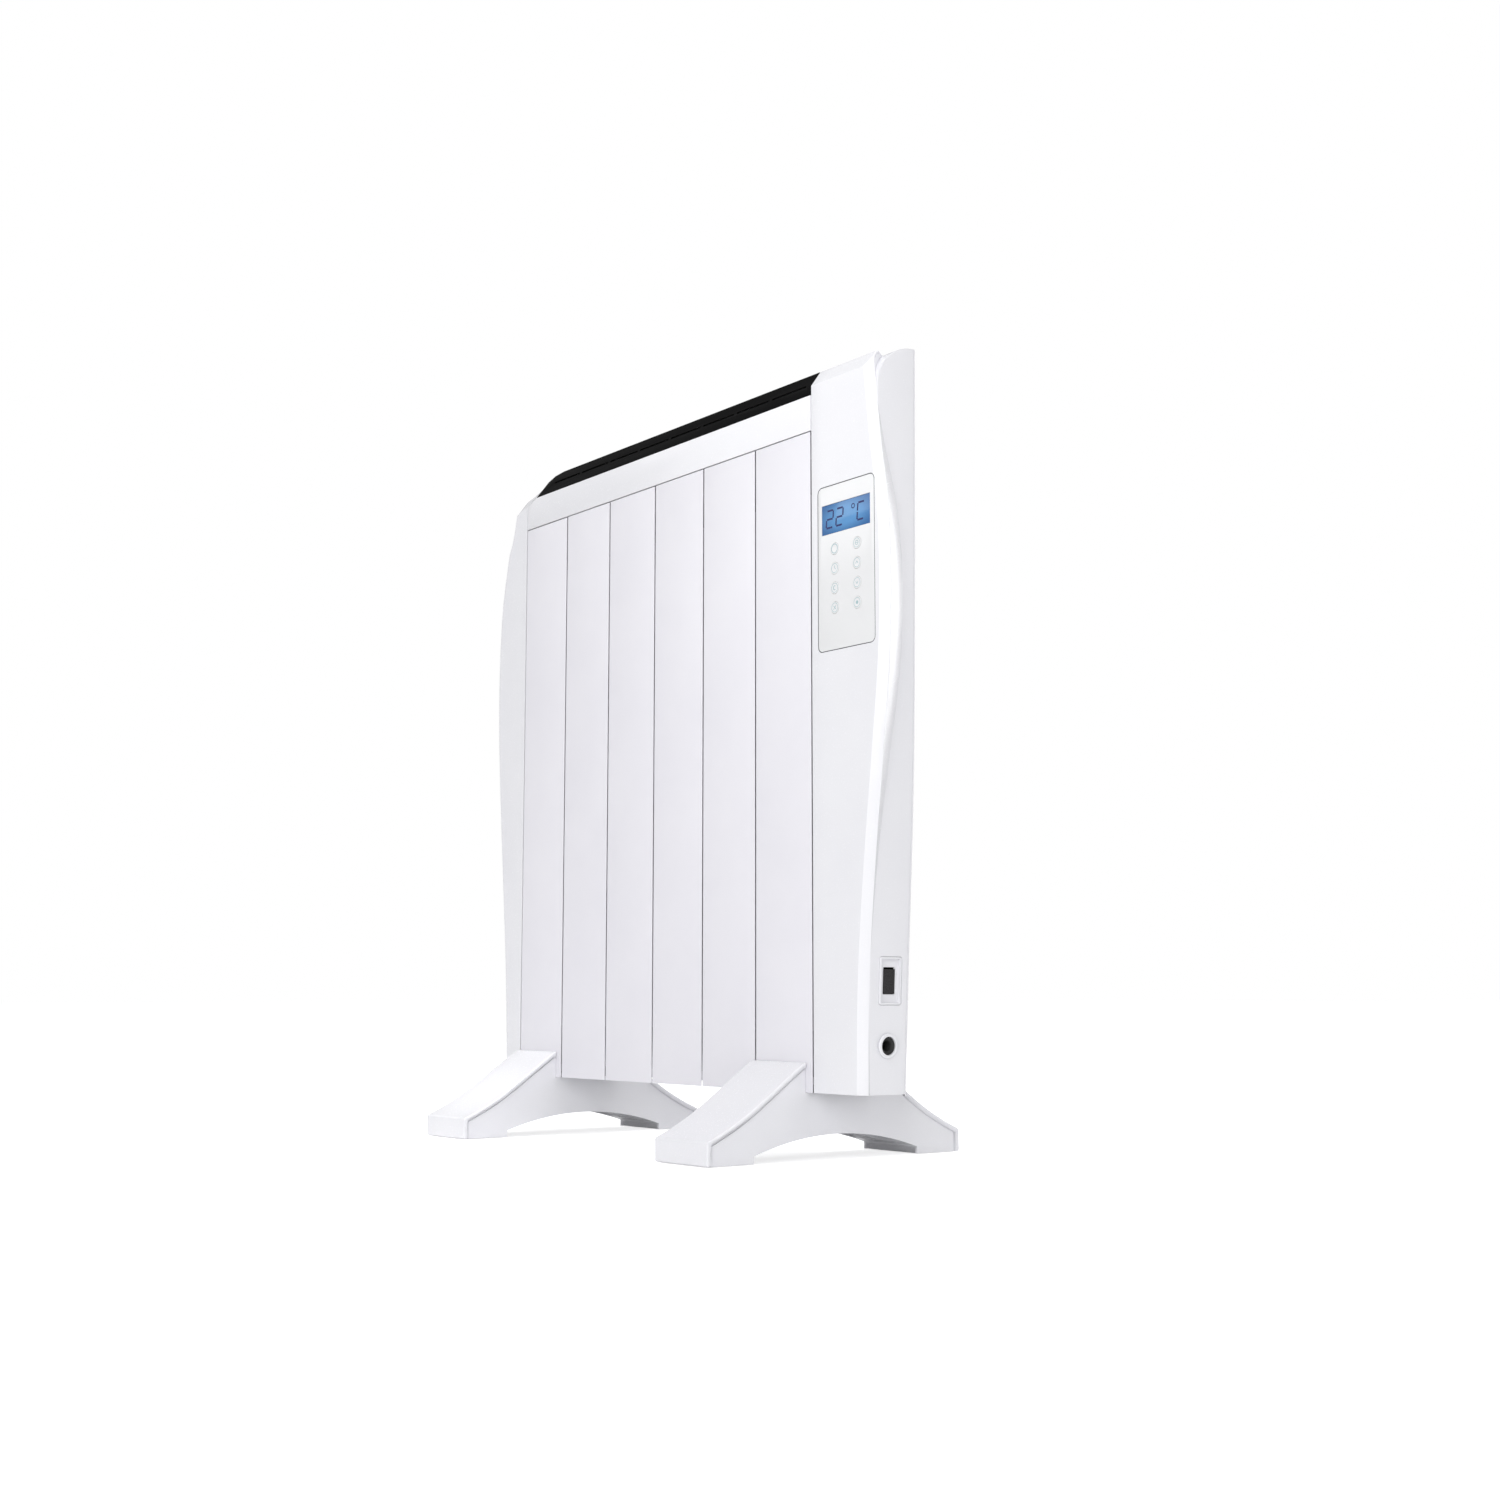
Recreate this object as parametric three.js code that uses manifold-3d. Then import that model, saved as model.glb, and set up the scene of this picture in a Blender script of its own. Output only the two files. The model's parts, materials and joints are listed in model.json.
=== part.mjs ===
// A slim electric oil-filled panel radiator on two screwed-on feet.
// Six aluminium sections stand side by side between a bottom and a top header. A left end cover
// and a right control housing close the ends, and a black slatted grille covers the top.
// Millimetres. +X runs to the right as seen from the front, +Y to the rear, +Z up.
// While it is being built, X = 0 is the right edge of the last section, Y = 0 the front
// faces and Z = 0 the floor. The group then moves its origin to the bottom centre.
import * as THREE from 'three';
import { mergeVertices } from 'three/addons/utils/BufferGeometryUtils.js';
import Module from 'manifold-3d';

const wasm = await Module();
wasm.setup();

// ---------------------------------------------------------------- driving dimensions
const GAP = 0.3; // between two pieces that touch
const MARGIN = 60; // how far a cutting tool runs past what it cuts
const FAR = 2000; // beyond the whole object

const SECTION_COUNT = 6;
const SECTION_PITCH = 80;
const SECTION_HEIGHT = 578;
const SECTION_DEPTH = 72;
const SECTION_GROOVE = 1.2; // between two front plates
const PLATE_THICKNESS = 2;
const PLATE_EDGE_CHAMFER = 0.8;
const FIN_THICKNESS = 2;
const FIN_OFFSET = 23; // from the section's centre line
const TUBE_RADIUS = 14;
const TUBE_WALL = 2.5;
const TUBE_SETBACK = 52; // the oil tube ends this far inside the plates, top and bottom

const BODY_BOTTOM = 58; // height of the sections' lower edge above the floor
const RAIL_HEIGHT = 33.4; // strip above the sections, up to the grille
const RAIL_LIP = 12; // how far the rails reach in under the grille
const FACE_ABOVE_RAIL = 8; // top edge of the end covers' faces above the rail

const HEADER_RADIUS = 16;
const HEADER_WALL = 3;
const HEADER_INSET = 27; // header axis from the ends of the sections
const SPIGOT_LENGTH = 12; // how far a header stub enters its oil tube
const SPIGOT_SIDES = 16;
const PLUG_LENGTH = 12;
const PLUG_HEAD = 6;
const GASKET_THICKNESS = 2;

const SHEATH_RADIUS = 3.25;
const SHEATH_SIDES = 12;
const HAIRPIN_PITCH = 13;
const HAIRPIN_LENGTH = (SECTION_COUNT - 0.75) * SECTION_PITCH;

const WALL = 2.6; // moulded covers
const COVER_STEPS = 24; // levels of an end cover's edge
const FACE_CHAMFER = 7; // bright strip round the front faces of the end covers
const SHELL_DEPTH = 46.5; // front shells, before the rear covers begin
const LENS_ANGLE = 30; // degrees off the depth axis, flank behind the chamfer
const CREST_RISE = 15; // from the top edge of the face to the crest
const CREST_DEPTH = 11; // crest behind the face
const REAR_RISE = 6; // housing's rear top edge above the crest
const ROOF_RADIUS = 38; // height over which the side's front edge rounds into the roof
const REAR_ROOF_RADIUS = 26;
const SIDE_TAPER = 2; // flat side starts this far in, and reaches its full width at
const SIDE_TAPER_END = 37; // this depth

const SHOULDER_REACH = 17; // left shoulder over the first section, and how its end leans
const SHOULDER_LEAN = 0.4;
// Top edge over the left end, as [distance right of the body's left edge, drop below the crest]:
// the level part's end, two handles, the step, two handles, the outer corner, and a far point.
const LEFT_CROWN = [[55, 0], [30, 0], [16, 10], [0, 15], [-14, 18], [-24, 17], [-32, 32], [-120, 60]];

const CAP_THICKNESS = 2.4; // grille moulding
const SLAT_BAYS = 8;
const SLOT_WIDTH = 4;
const SLOT_PITCH = 7;
const BAY_RIB = 4;
const BAYS_LEFT = 26; // plain strip before the first bay and after the last
const BAYS_RIGHT = 10;
const FACE_SLOT = 2; // height of the one slot in each slanted face
const GRILLE_SET_IN = 0.2; // behind the rails' faces

// `drop` is how far the fascia's lower edge lies under the sections' upper ends.
const FASCIA = { width: 74, height: 145, radius: 5, left: 10.1, drop: 200, thickness: 1.2 };
const FASCIA_LEDGE = 5; // width of the housing ledge that the fascia is glued to
const LCD = { width: 64, height: 26.5, bottom: 102.3, thickness: 1, setIn: 0.15 };
const KEY_RADIUS = 5.2;
const KEY_FLANGE = { reach: 1.3, front: 0.5, back: 1.3 }; // beyond the key, behind the fascia
const KEY_COLUMN_PITCH = 29.4;
const KEY_ROW_PITCH = 17.3;
const KEY_ROWS = 4;
const KEY_TOP_ROW = 88.4; // above the fascia's lower edge
const KEY_PROUD = 0.35;
const KEY_CLEARANCE = 0.25;
const KEY_TRAVEL = 0.5;
const KEY_SIDES = 20;
const BOARD_THICKNESS = 1.6;
const BOARD_MARGIN = 8; // control board inside the fascia's upper and lower edges

// `rise` is a height above the sections' lower ends.
const SWITCH = { rise: 94.4, depth: 28.8, bezelWide: 24, bezelTall: 40, recess: 3, floor: 1.6 };
const SWITCH_BODY = { length: 22, wall: 0.9, well: 12 };
const TRUNNION = { depth: 4, radius: 1.5, clearance: 0.05, length: 0.7, sides: 16 };
const ROCKER = { wide: 11.8, tall: 21.7, tilt: 7, clearance: 0.35, edge: 1.6, belly: 3, taper: 0.45 };
const GLAND = { rise: 40.5, depth: 27, outer: 10.5, bore: 7.2, wall: 1.6, cordHole: 4.6, sides: 32 };
const CLAMP = { near: -16, far: -26, wide: 18, tall: 16 };

const SHIELD = { x: 3.2, thickness: 1 };
const POWER_BOARD = { x: 8, width: 44, y: 34, rise: 157, height: 130 };
const RELAY = { x: 6, width: 16, z: 70, height: 20, tall: 15 };
const TRANSFORMER = { x: 10, width: 24, z: 20, height: 28, tall: 18 };
const TERMINALS = { x: 14, width: 30, y: 50, depth: 14, rise: 132, height: 14 };
const CUTOUT = { length: 10, radius: 8, drop: 35 };
const SENSOR = { from: 30, to: 42, depth: 20, rise: 9, radius: 3 };

const FOOT = {
  length: 283.4,
  width: 75.9,
  tip: 20.7,
  wrap: 26, // how far it reaches up the faces of the body
  pad: 50,
  padStep: 7,
  archRise: 22,
  wall: 2.6,
  web: 5, // saddle floor under the body
  lean: [45, 19, 50, 31, 5, 2.5], // run and rise of the slope's two handles and of its upper end
  cells: [[-76, -40], [-37.4, -1.3], [1.3, 37.4], [40, 76]], // hollows from front to rear
  columns: 2,
  outerCeiling: 40,
  floor: 4, // the hollows stay open below this height
};
const RIGHT_FOOT_INSET = 7.7; // from the right edge of the last section
const FOOT_SPACING = (SECTION_COUNT - 1) * SECTION_PITCH;
const RUBBER = { length: 34, width: 56, thickness: 2, proud: 0.7 };
const FOOT_SCREW = { across: 18, along: 19, radius: 2, head: 4.5, headHeight: 2.5 };
const BRACKET = { width: 60, thickness: 2.5, flange: 14 };

// ---------------------------------------------------------------- derived places
const bodyLeft = -SECTION_COUNT * SECTION_PITCH;
const bodyTop = BODY_BOTTOM + SECTION_HEIGHT;
const railTop = bodyTop + RAIL_HEIGHT;
const faceTop = railTop + FACE_ABOVE_RAIL;
const crestTop = faceTop + CREST_RISE;
const midDepth = SECTION_DEPTH / 2;
const lowHeader = BODY_BOTTOM + HEADER_INSET;
const highHeader = bodyTop - HEADER_INSET;
const fasciaBottom = bodyTop - FASCIA.drop;
const switchHeight = BODY_BOTTOM + SWITCH.rise;
const glandHeight = BODY_BOTTOM + GLAND.rise;

// Half-width stations of the end covers: [share of the face height, distance from the body].
// The faces swell towards the upper third and draw in again at the top.
const RIGHT_FACE = [[0, 56.6], [0.15, 59], [0.31, 67.6], [0.45, 78], [0.58, 87.3],
  [0.7, 90.3], [0.8, 87.6], [0.9, 78.6], [1, 71.4]];
const RIGHT_REAR = [[0, 63.6], [0.2, 69.8], [0.4, 77], [0.7, 81.8], [1, 84.4]];
const LEFT_FACE = [[0, 27], [0.15, 30.8], [0.31, 39.2], [0.45, 47.2], [0.58, 53.1],
  [0.65, 54.3], [0.73, 53.2], [0.81, 49.2], [0.89, 38.8], [1, 23]];
const LEFT_REAR = [[0, 34], [0.2, 38.5], [0.4, 43], [0.7, 44], [1, 34]];

// ---------------------------------------------------------------- solids and shapes
const solid = (geometry) => {
  const bare = geometry.index ? geometry.toNonIndexed() : geometry;
  bare.deleteAttribute('normal');
  bare.deleteAttribute('uv');
  const merged = mergeVertices(bare, 1e-4);
  return new wasm.Manifold(new wasm.Mesh({
    numProp: 3,
    vertProperties: new Float32Array(merged.attributes.position.array),
    triVerts: new Uint32Array(merged.index.array),
  }));
};

const geometryOf = (body) => {
  const mesh = body.getMesh();
  const geometry = new THREE.BufferGeometry();
  geometry.setAttribute('position', new THREE.BufferAttribute(mesh.vertProperties, 3));
  geometry.setIndex(new THREE.BufferAttribute(mesh.triVerts, 1));
  return geometry;
};

const joined = (bodies) => bodies.reduce((whole, body) => whole.add(body));
const without = (body, cuts) => cuts.reduce((rest, cut) => rest.subtract(cut), body);

const block = (x0, x1, y0, y1, z0, z1) => {
  const geometry = new THREE.BoxGeometry(x1 - x0, y1 - y0, z1 - z0);
  geometry.translate((x0 + x1) / 2, (y0 + y1) / 2, (z0 + z1) / 2);
  return solid(geometry);
};

// A round bar from low to high along 'x', 'y' or 'z'; a and b place its axis on the other two.
const bar = (axis, low, high, a, b, radius, sides = 24) => {
  const geometry = new THREE.CylinderGeometry(radius, radius, high - low, sides);
  const middle = (low + high) / 2;
  if (axis === 'x') geometry.rotateZ(-Math.PI / 2).translate(middle, a, b);
  if (axis === 'y') geometry.translate(a, middle, b);
  if (axis === 'z') geometry.rotateX(Math.PI / 2).translate(a, b, middle);
  return solid(geometry);
};

const shapeOf = (points) => new THREE.Shape(points.map(([a, b]) => new THREE.Vector2(a, b)));

const roundedRectangle = (left, bottom, width, height, radius) => {
  const shape = new THREE.Shape();
  shape.absarc(left + radius, bottom + radius, radius, Math.PI, 1.5 * Math.PI);
  shape.absarc(left + width - radius, bottom + radius, radius, 1.5 * Math.PI, 2 * Math.PI);
  shape.absarc(left + width - radius, bottom + height - radius, radius, 0, Math.PI / 2);
  shape.absarc(left + radius, bottom + height - radius, radius, Math.PI / 2, Math.PI);
  return shape;
};

// Upright shape in X and Z, drawn through the depth. Each station [y, amount] moves the outline's
// free points by `amount`, the way `shift(x, z, amount)` says, so that the sides can lean.
const drawnThrough = (shape, stations, shift, curve = 4) => {
  const steps = stations.length - 1;
  const geometry = new THREE.ExtrudeGeometry(shape, {
    depth: steps,
    steps,
    bevelEnabled: false,
    curveSegments: curve,
  });
  const { position } = geometry.attributes;
  for (let index = 0; index < position.count; index += 1) {
    const [y, amount] = stations[steps - Math.round(position.getZ(index))];
    const [x, z] = shift(position.getX(index), position.getY(index), amount);
    position.setXYZ(index, x, y, z);
  }
  return solid(geometry);
};
const straight = (x, z) => [x, z];
const throughDepth = (shape, y0, y1, curve = 5) => drawnThrough(shape, [[y0, 0], [y1, 0]], straight, curve);

// Side profile in Y and Z, pushed along X from x0 to x1.
const alongWidth = (shape, x0, x1, curve = 8) => {
  const geometry = new THREE.ExtrudeGeometry(shape, {
    depth: x1 - x0,
    bevelEnabled: false,
    curveSegments: curve,
  });
  geometry.applyMatrix4(new THREE.Matrix4().makeBasis(
    new THREE.Vector3(0, 1, 0),
    new THREE.Vector3(0, 0, 1),
    new THREE.Vector3(1, 0, 0),
  ));
  return solid(geometry.translate(x0, 0, 0));
};

const smooth = (stations) => {
  const places = stations.map(([place]) => place);
  const values = stations.map(([, value]) => value);
  const curve = new THREE.CubicInterpolant(places, values, 1);
  return (share) => curve.evaluate(THREE.MathUtils.clamp(share, 0, 1))[0];
};

// ---------------------------------------------------------------- materials and the assembly
const finish = (color, roughness, metalness = 0) => ({ color, roughness, metalness });
const WHITE_PAINT = finish(0xe9e8ee, 0.35);
const WHITE_PLASTIC = finish(0xf2f2f5, 0.3);
const BLACK_PLASTIC = finish(0x1b1b1d, 0.5);
const PANEL_WHITE = finish(0xf4f3f1, 0.15);
const LCD_BLUE = finish(0x5a96d6, 0.1);
const BARE_ALUMINIUM = finish(0xb9bbbf, 0.45, 0.9);
const STEEL = finish(0x9a9ca0, 0.35, 0.95);
const BRASS = finish(0xb5964f, 0.35, 0.9);
const RUBBER_BLACK = finish(0x242426, 0.85);
const SILICONE = finish(0xa9443a, 0.7);
const BOARD_GREEN = finish(0x2e6b45, 0.5);
const CERAMIC = finish(0xd8cfc0, 0.6);

const radiator = new THREE.Group();
radiator.name = 'radiator';

const place = (name, body, look, parent = radiator) => {
  const mesh = new THREE.Mesh(geometryOf(body), new THREE.MeshStandardMaterial(look));
  mesh.name = name;
  parent.add(mesh);
  return mesh;
};

// ---------------------------------------------------------------- aluminium sections
const sectionCentre = (index) => bodyLeft + (index + 0.5) * SECTION_PITCH;

const plate = (centre, y0, y1) => {
  const half = (SECTION_PITCH - SECTION_GROOVE) / 2;
  const chamfer = PLATE_EDGE_CHAMFER;
  const front = y0 === 0;
  const shape = front
    ? shapeOf([[-half + chamfer, y0], [half - chamfer, y0], [half, y0 + chamfer],
      [half, y1], [-half, y1], [-half, y0 + chamfer]])
    : shapeOf([[-half, y0], [half, y0], [half, y1 - chamfer],
      [half - chamfer, y1], [-half + chamfer, y1], [-half, y1 - chamfer]]);
  const geometry = new THREE.ExtrudeGeometry(shape, { depth: SECTION_HEIGHT, bevelEnabled: false });
  return solid(geometry.translate(centre, 0, BODY_BOTTOM));
};

const section = (index) => {
  const centre = sectionCentre(index);
  const low = BODY_BOTTOM + TUBE_SETBACK;
  const high = bodyTop - TUBE_SETBACK;
  const overlap = PLATE_THICKNESS / 2;
  const fin = (offset) => block(centre + offset - FIN_THICKNESS / 2, centre + offset + FIN_THICKNESS / 2,
    overlap, SECTION_DEPTH - overlap, low, high);
  const body = joined([
    plate(centre, 0, PLATE_THICKNESS),
    plate(centre, SECTION_DEPTH - PLATE_THICKNESS, SECTION_DEPTH),
    bar('z', low, high, centre, midDepth, TUBE_RADIUS),
    fin(-FIN_OFFSET),
    fin(0),
    fin(FIN_OFFSET),
  ]);
  return body.subtract(bar('z', low - 1, high + 1, centre, midDepth, TUBE_RADIUS - TUBE_WALL));
};

for (let index = 0; index < SECTION_COUNT; index += 1) {
  place(`section_${index + 1}`, section(index), WHITE_PAINT);
}

// ---------------------------------------------------------------- headers, plugs and heater
const headerLeft = bodyLeft + 14;
const headerRight = 6;
const headerBore = HEADER_RADIUS - HEADER_WALL;
const spigotRadius = TUBE_RADIUS - TUBE_WALL - GAP;

const header = (height, up) => {
  const tubeEnd = up ? BODY_BOTTOM + TUBE_SETBACK : bodyTop - TUBE_SETBACK;
  const reach = up ? tubeEnd + SPIGOT_LENGTH : tubeEnd - SPIGOT_LENGTH;
  const [low, high] = up ? [height, reach] : [reach, height];
  const spigots = [];
  const passages = [];
  for (let index = 0; index < SECTION_COUNT; index += 1) {
    spigots.push(bar('z', low, high, sectionCentre(index), midDepth, spigotRadius, SPIGOT_SIDES));
    passages.push(bar('z', up ? low : low - 1, up ? high + 1 : high, sectionCentre(index), midDepth,
      spigotRadius - HEADER_WALL, SPIGOT_SIDES));
  }
  const pipe = joined([bar('x', headerLeft, headerRight, midDepth, height, HEADER_RADIUS), ...spigots]);
  const bore = bar('x', headerLeft - 1, headerRight + 1, midDepth, height, headerBore);
  return without(pipe, [bore, ...passages]);
};

place('bottom_header', header(lowHeader, true), BARE_ALUMINIUM);
place('top_header', header(highHeader, false), BARE_ALUMINIUM);

// A screw plug in a header end: a threaded shank and a hexagon head, with a gasket under the head.
const plug = (side, height) => {
  const face = side > 0 ? headerRight : headerLeft;
  const at = (distance) => face + side * distance;
  const span = (from, to) => [Math.min(at(from), at(to)), Math.max(at(from), at(to))];
  const [shankLow, shankHigh] = span(-PLUG_LENGTH, GASKET_THICKNESS + 2 * GAP + 1);
  const [headLow, headHigh] = span(GASKET_THICKNESS + 2 * GAP, GASKET_THICKNESS + 2 * GAP + PLUG_HEAD);
  return joined([
    bar('x', shankLow, shankHigh, midDepth, height, headerBore - GAP),
    bar('x', headLow, headHigh, midDepth, height, HEADER_RADIUS, 6),
  ]);
};

const gasket = (side, height) => {
  const face = side > 0 ? headerRight : headerLeft;
  const near = face + side * GAP;
  const far = near + side * GASKET_THICKNESS;
  const [low, high] = [Math.min(near, far), Math.max(near, far)];
  return bar('x', low, high, midDepth, height, HEADER_RADIUS)
    .subtract(bar('x', low - 1, high + 1, midDepth, height, headerBore));
};

const headerEnds = [['bottom_left', -1, lowHeader], ['top_left', -1, highHeader],
  ['top_right', 1, highHeader]];
for (const [name, side, height] of headerEnds) {
  place(`plug_${name}`, plug(side, height), BRASS);
  place(`gasket_${name}`, gasket(side, height), RUBBER_BLACK);
}

// The heater is a hairpin of sheathed rod whose two cold ends pass through its own screw plug.
const legOffsets = [-HAIRPIN_PITCH / 2, HAIRPIN_PITCH / 2];
const heaterEnd = headerRight + GASKET_THICKNESS + PLUG_HEAD + 16;
const hairpin = () => {
  const bend = headerRight - HAIRPIN_LENGTH;
  const half = HAIRPIN_PITCH / 2;
  const legs = legOffsets.map((offset) => bar('x', bend, heaterEnd, midDepth, lowHeader + offset,
    SHEATH_RADIUS, SHEATH_SIDES));
  const quarter = (share) => new THREE.Vector3(bend - half * Math.cos(share * Math.PI / 2), midDepth,
    lowHeader + half * Math.sin(share * Math.PI / 2));
  const route = new THREE.CatmullRomCurve3([-1, -0.5, 0, 0.5, 1].map(quarter));
  const ring = new THREE.Shape();
  ring.absarc(0, 0, SHEATH_RADIUS, 0, 2 * Math.PI);
  const turn = solid(new THREE.ExtrudeGeometry(ring, { extrudePath: route, steps: 8, curveSegments: 5 }));
  return joined([...legs, turn]);
};
const sheathHoles = legOffsets.map((offset) => bar('x', headerRight - PLUG_LENGTH - 1, heaterEnd + 1,
  midDepth, lowHeader + offset, SHEATH_RADIUS + GAP));
place('heater_sheath', hairpin(), STEEL);
place('heater_plug', without(plug(1, lowHeader), sheathHoles), BRASS);
place('gasket_heater', gasket(1, lowHeader), RUBBER_BLACK);

// ---------------------------------------------------------------- crown: outline of the whole top
// The top edge runs level to the right end and steps down over the left shoulder. Front and back
// are chamfered from the face up to the crest.
const crownShape = () => {
  const points = LEFT_CROWN.map(([across, drop]) => [bodyLeft + across, crestTop - drop]);
  const [level, firstHandle, secondHandle, step, thirdHandle, fourthHandle, corner, far] = points;
  const shape = new THREE.Shape();
  shape.moveTo(bodyLeft - 2 * MARGIN, BODY_BOTTOM - MARGIN);
  shape.lineTo(3 * MARGIN, BODY_BOTTOM - MARGIN);
  shape.lineTo(3 * MARGIN, crestTop);
  shape.lineTo(...level);
  shape.bezierCurveTo(...firstHandle, ...secondHandle, ...step);
  shape.bezierCurveTo(...thirdHandle, ...fourthHandle, ...corner);
  shape.lineTo(...far);
  return shape;
};
const crown = (inset) => drawnThrough(crownShape(), [
  [inset, -CREST_RISE - inset],
  [CREST_DEPTH, -inset],
  [SECTION_DEPTH - CREST_DEPTH, -inset],
  [SECTION_DEPTH - inset, -CREST_RISE - inset],
], (x, z, amount) => [x, z > BODY_BOTTOM ? z + amount : z]);
const crownSolid = crown(0);

// ---------------------------------------------------------------- end covers
// An upright body whose outer edge follows the stations of one end cover. Its depth stations
// [y, amount] move that edge outwards by `amount`.
const endBody = (end, stations, depths) => {
  const width = smooth(stations);
  const height = faceTop - BODY_BOTTOM;
  const points = [];
  for (let step = 0; step <= COVER_STEPS; step += 1) {
    const share = step / COVER_STEPS;
    points.push([end.base + end.side * width(share), BODY_BOTTOM + share * height]);
  }
  const [lowX] = points[0];
  const [highX] = points.at(-1);
  const inner = end.base - end.side * MARGIN;
  const bottom = BODY_BOTTOM - MARGIN;
  const top = crestTop + MARGIN;
  const shape = shapeOf([[inner, bottom], [lowX, bottom], ...points, [highX, top], [inner, top]]);
  const outwards = (x, z, amount) => [end.side * (x - end.base) > 0 ? x + end.side * amount : x, z];
  return drawnThrough(shape, depths, outwards);
};

const span = (end, from, to, y0, y1, z0, z1) => {
  const a = end.base + end.side * from;
  const b = end.base + end.side * to;
  return block(Math.min(a, b), Math.max(a, b), y0, y1, z0, z1);
};

// Everything the front shell of an end fills, drawn `inset` inside its outer surface: the
// chamfered face, the flank that slopes in behind it, and the flat side with its round roof.
const frontBody = (end, inset) => {
  const lensDepth = end.lens / Math.tan(THREE.MathUtils.degToRad(LENS_ANGLE));
  const face = endBody(end, end.face, [
    [inset, -inset],
    [FACE_CHAMFER + 0.4 * inset, FACE_CHAMFER - inset],
    [FACE_CHAMFER + lensDepth, FACE_CHAMFER - end.lens - inset],
  ]);
  const side = endBody(end, end.rear, [
    [FACE_CHAMFER + 0.4 * inset, -SIDE_TAPER - inset],
    [SIDE_TAPER_END, -inset],
    [2 * SHELL_DEPTH, -inset],
  ]);
  const roof = new THREE.Shape();
  roof.moveTo(-MARGIN, 0);
  roof.lineTo(2 * SHELL_DEPTH, 0);
  roof.lineTo(2 * SHELL_DEPTH, end.roof - inset);
  roof.absellipse(SHELL_DEPTH, end.roof - ROOF_RADIUS - inset, SHELL_DEPTH - FACE_CHAMFER, ROOF_RADIUS,
    Math.PI / 2, Math.PI);
  roof.lineTo(-MARGIN, end.roof - ROOF_RADIUS - inset);
  const roofed = side.intersect(alongWidth(roof, -FAR, FAR));
  const behind = end.side < 0 ? roofed.intersect(crown(inset)) : roofed;
  const open = inset > 0 ? 20 : 0;
  return face.intersect(crown(inset)).add(behind)
    .intersect(span(end, GAP - open, FAR, 0, SHELL_DEPTH + open, BODY_BOTTOM + inset, FAR));
};

// The rear cover is a shallow tray whose outer edge is drawn in towards the back.
const rearBody = (end, inset) => {
  const tray = endBody(end, end.rear, [
    [0, -inset],
    [SHELL_DEPTH + 2, -inset],
    [SECTION_DEPTH - inset, -end.rearDraw - inset],
  ]);
  const roof = new THREE.Shape();
  roof.moveTo(0, 0);
  roof.lineTo(SECTION_DEPTH, 0);
  roof.absellipse(SHELL_DEPTH, end.roof - REAR_ROOF_RADIUS - inset, SECTION_DEPTH - SHELL_DEPTH,
    REAR_ROOF_RADIUS, 0, Math.PI / 2);
  roof.lineTo(0, end.roof - inset);
  const open = inset > 0 ? 20 : 0;
  const body = tray.intersect(alongWidth(roof, -FAR, FAR)).intersect(span(end, GAP - open, FAR,
    SHELL_DEPTH + GAP - open, SECTION_DEPTH, BODY_BOTTOM + inset, FAR));
  return end.side < 0 ? body.intersect(crown(inset)) : body;
};

const RIGHT_END = { side: 1, base: 0, face: RIGHT_FACE, rear: RIGHT_REAR, lens: 15.5,
  rearDraw: 26, roof: crestTop + REAR_RISE };
const LEFT_END = { side: -1, base: bodyLeft, face: LEFT_FACE, rear: LEFT_REAR, lens: 17,
  rearDraw: 18, roof: crestTop + REAR_RISE };

const shell = (body, end) => body(end, 0).subtract(body(end, WALL));

// The left cover carries a shoulder that reaches over the first section to the grille's end.
const shoulderEdge = (height) => bodyLeft + SHOULDER_REACH + SHOULDER_LEAN * (height - railTop);
const shoulder = (y0, y1) => {
  const shape = shapeOf([[bodyLeft - 1, railTop + GAP], [shoulderEdge(railTop + GAP), railTop + GAP],
    [shoulderEdge(crestTop + 1), crestTop + 1], [bodyLeft - 1, crestTop + 1]]);
  return throughDepth(shape, y0, y1).intersect(crownSolid);
};
const frontHalf = block(-FAR, FAR, 0, SHELL_DEPTH, 0, FAR);
place('left_cover_front', shell(frontBody, LEFT_END).intersect(frontHalf)
  .add(shoulder(0, SHELL_DEPTH)), WHITE_PLASTIC);
place('left_cover_rear', shell(rearBody, LEFT_END)
  .add(shoulder(SHELL_DEPTH + GAP, SECTION_DEPTH)), WHITE_PLASTIC);

// ---------------------------------------------------------------- top rails and grille
const railLeft = bodyLeft + GAP;
const railRight = -GAP;
const rail = (front) => {
  const at = (depth) => (front ? depth : SECTION_DEPTH - depth);
  const low = bodyTop + GAP;
  const profile = shapeOf([[at(0), low], [at(RAIL_LIP - 2), low], [at(RAIL_LIP - 2), low + WALL],
    [at(WALL), low + WALL], [at(WALL), railTop - WALL], [at(RAIL_LIP), railTop - WALL],
    [at(RAIL_LIP), railTop], [at(0), railTop]]);
  return alongWidth(profile, railLeft, railRight).intersect(crownSolid);
};
place('top_rail_front', rail(true), WHITE_PLASTIC);
place('top_rail_rear', rail(false), WHITE_PLASTIC);

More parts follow.
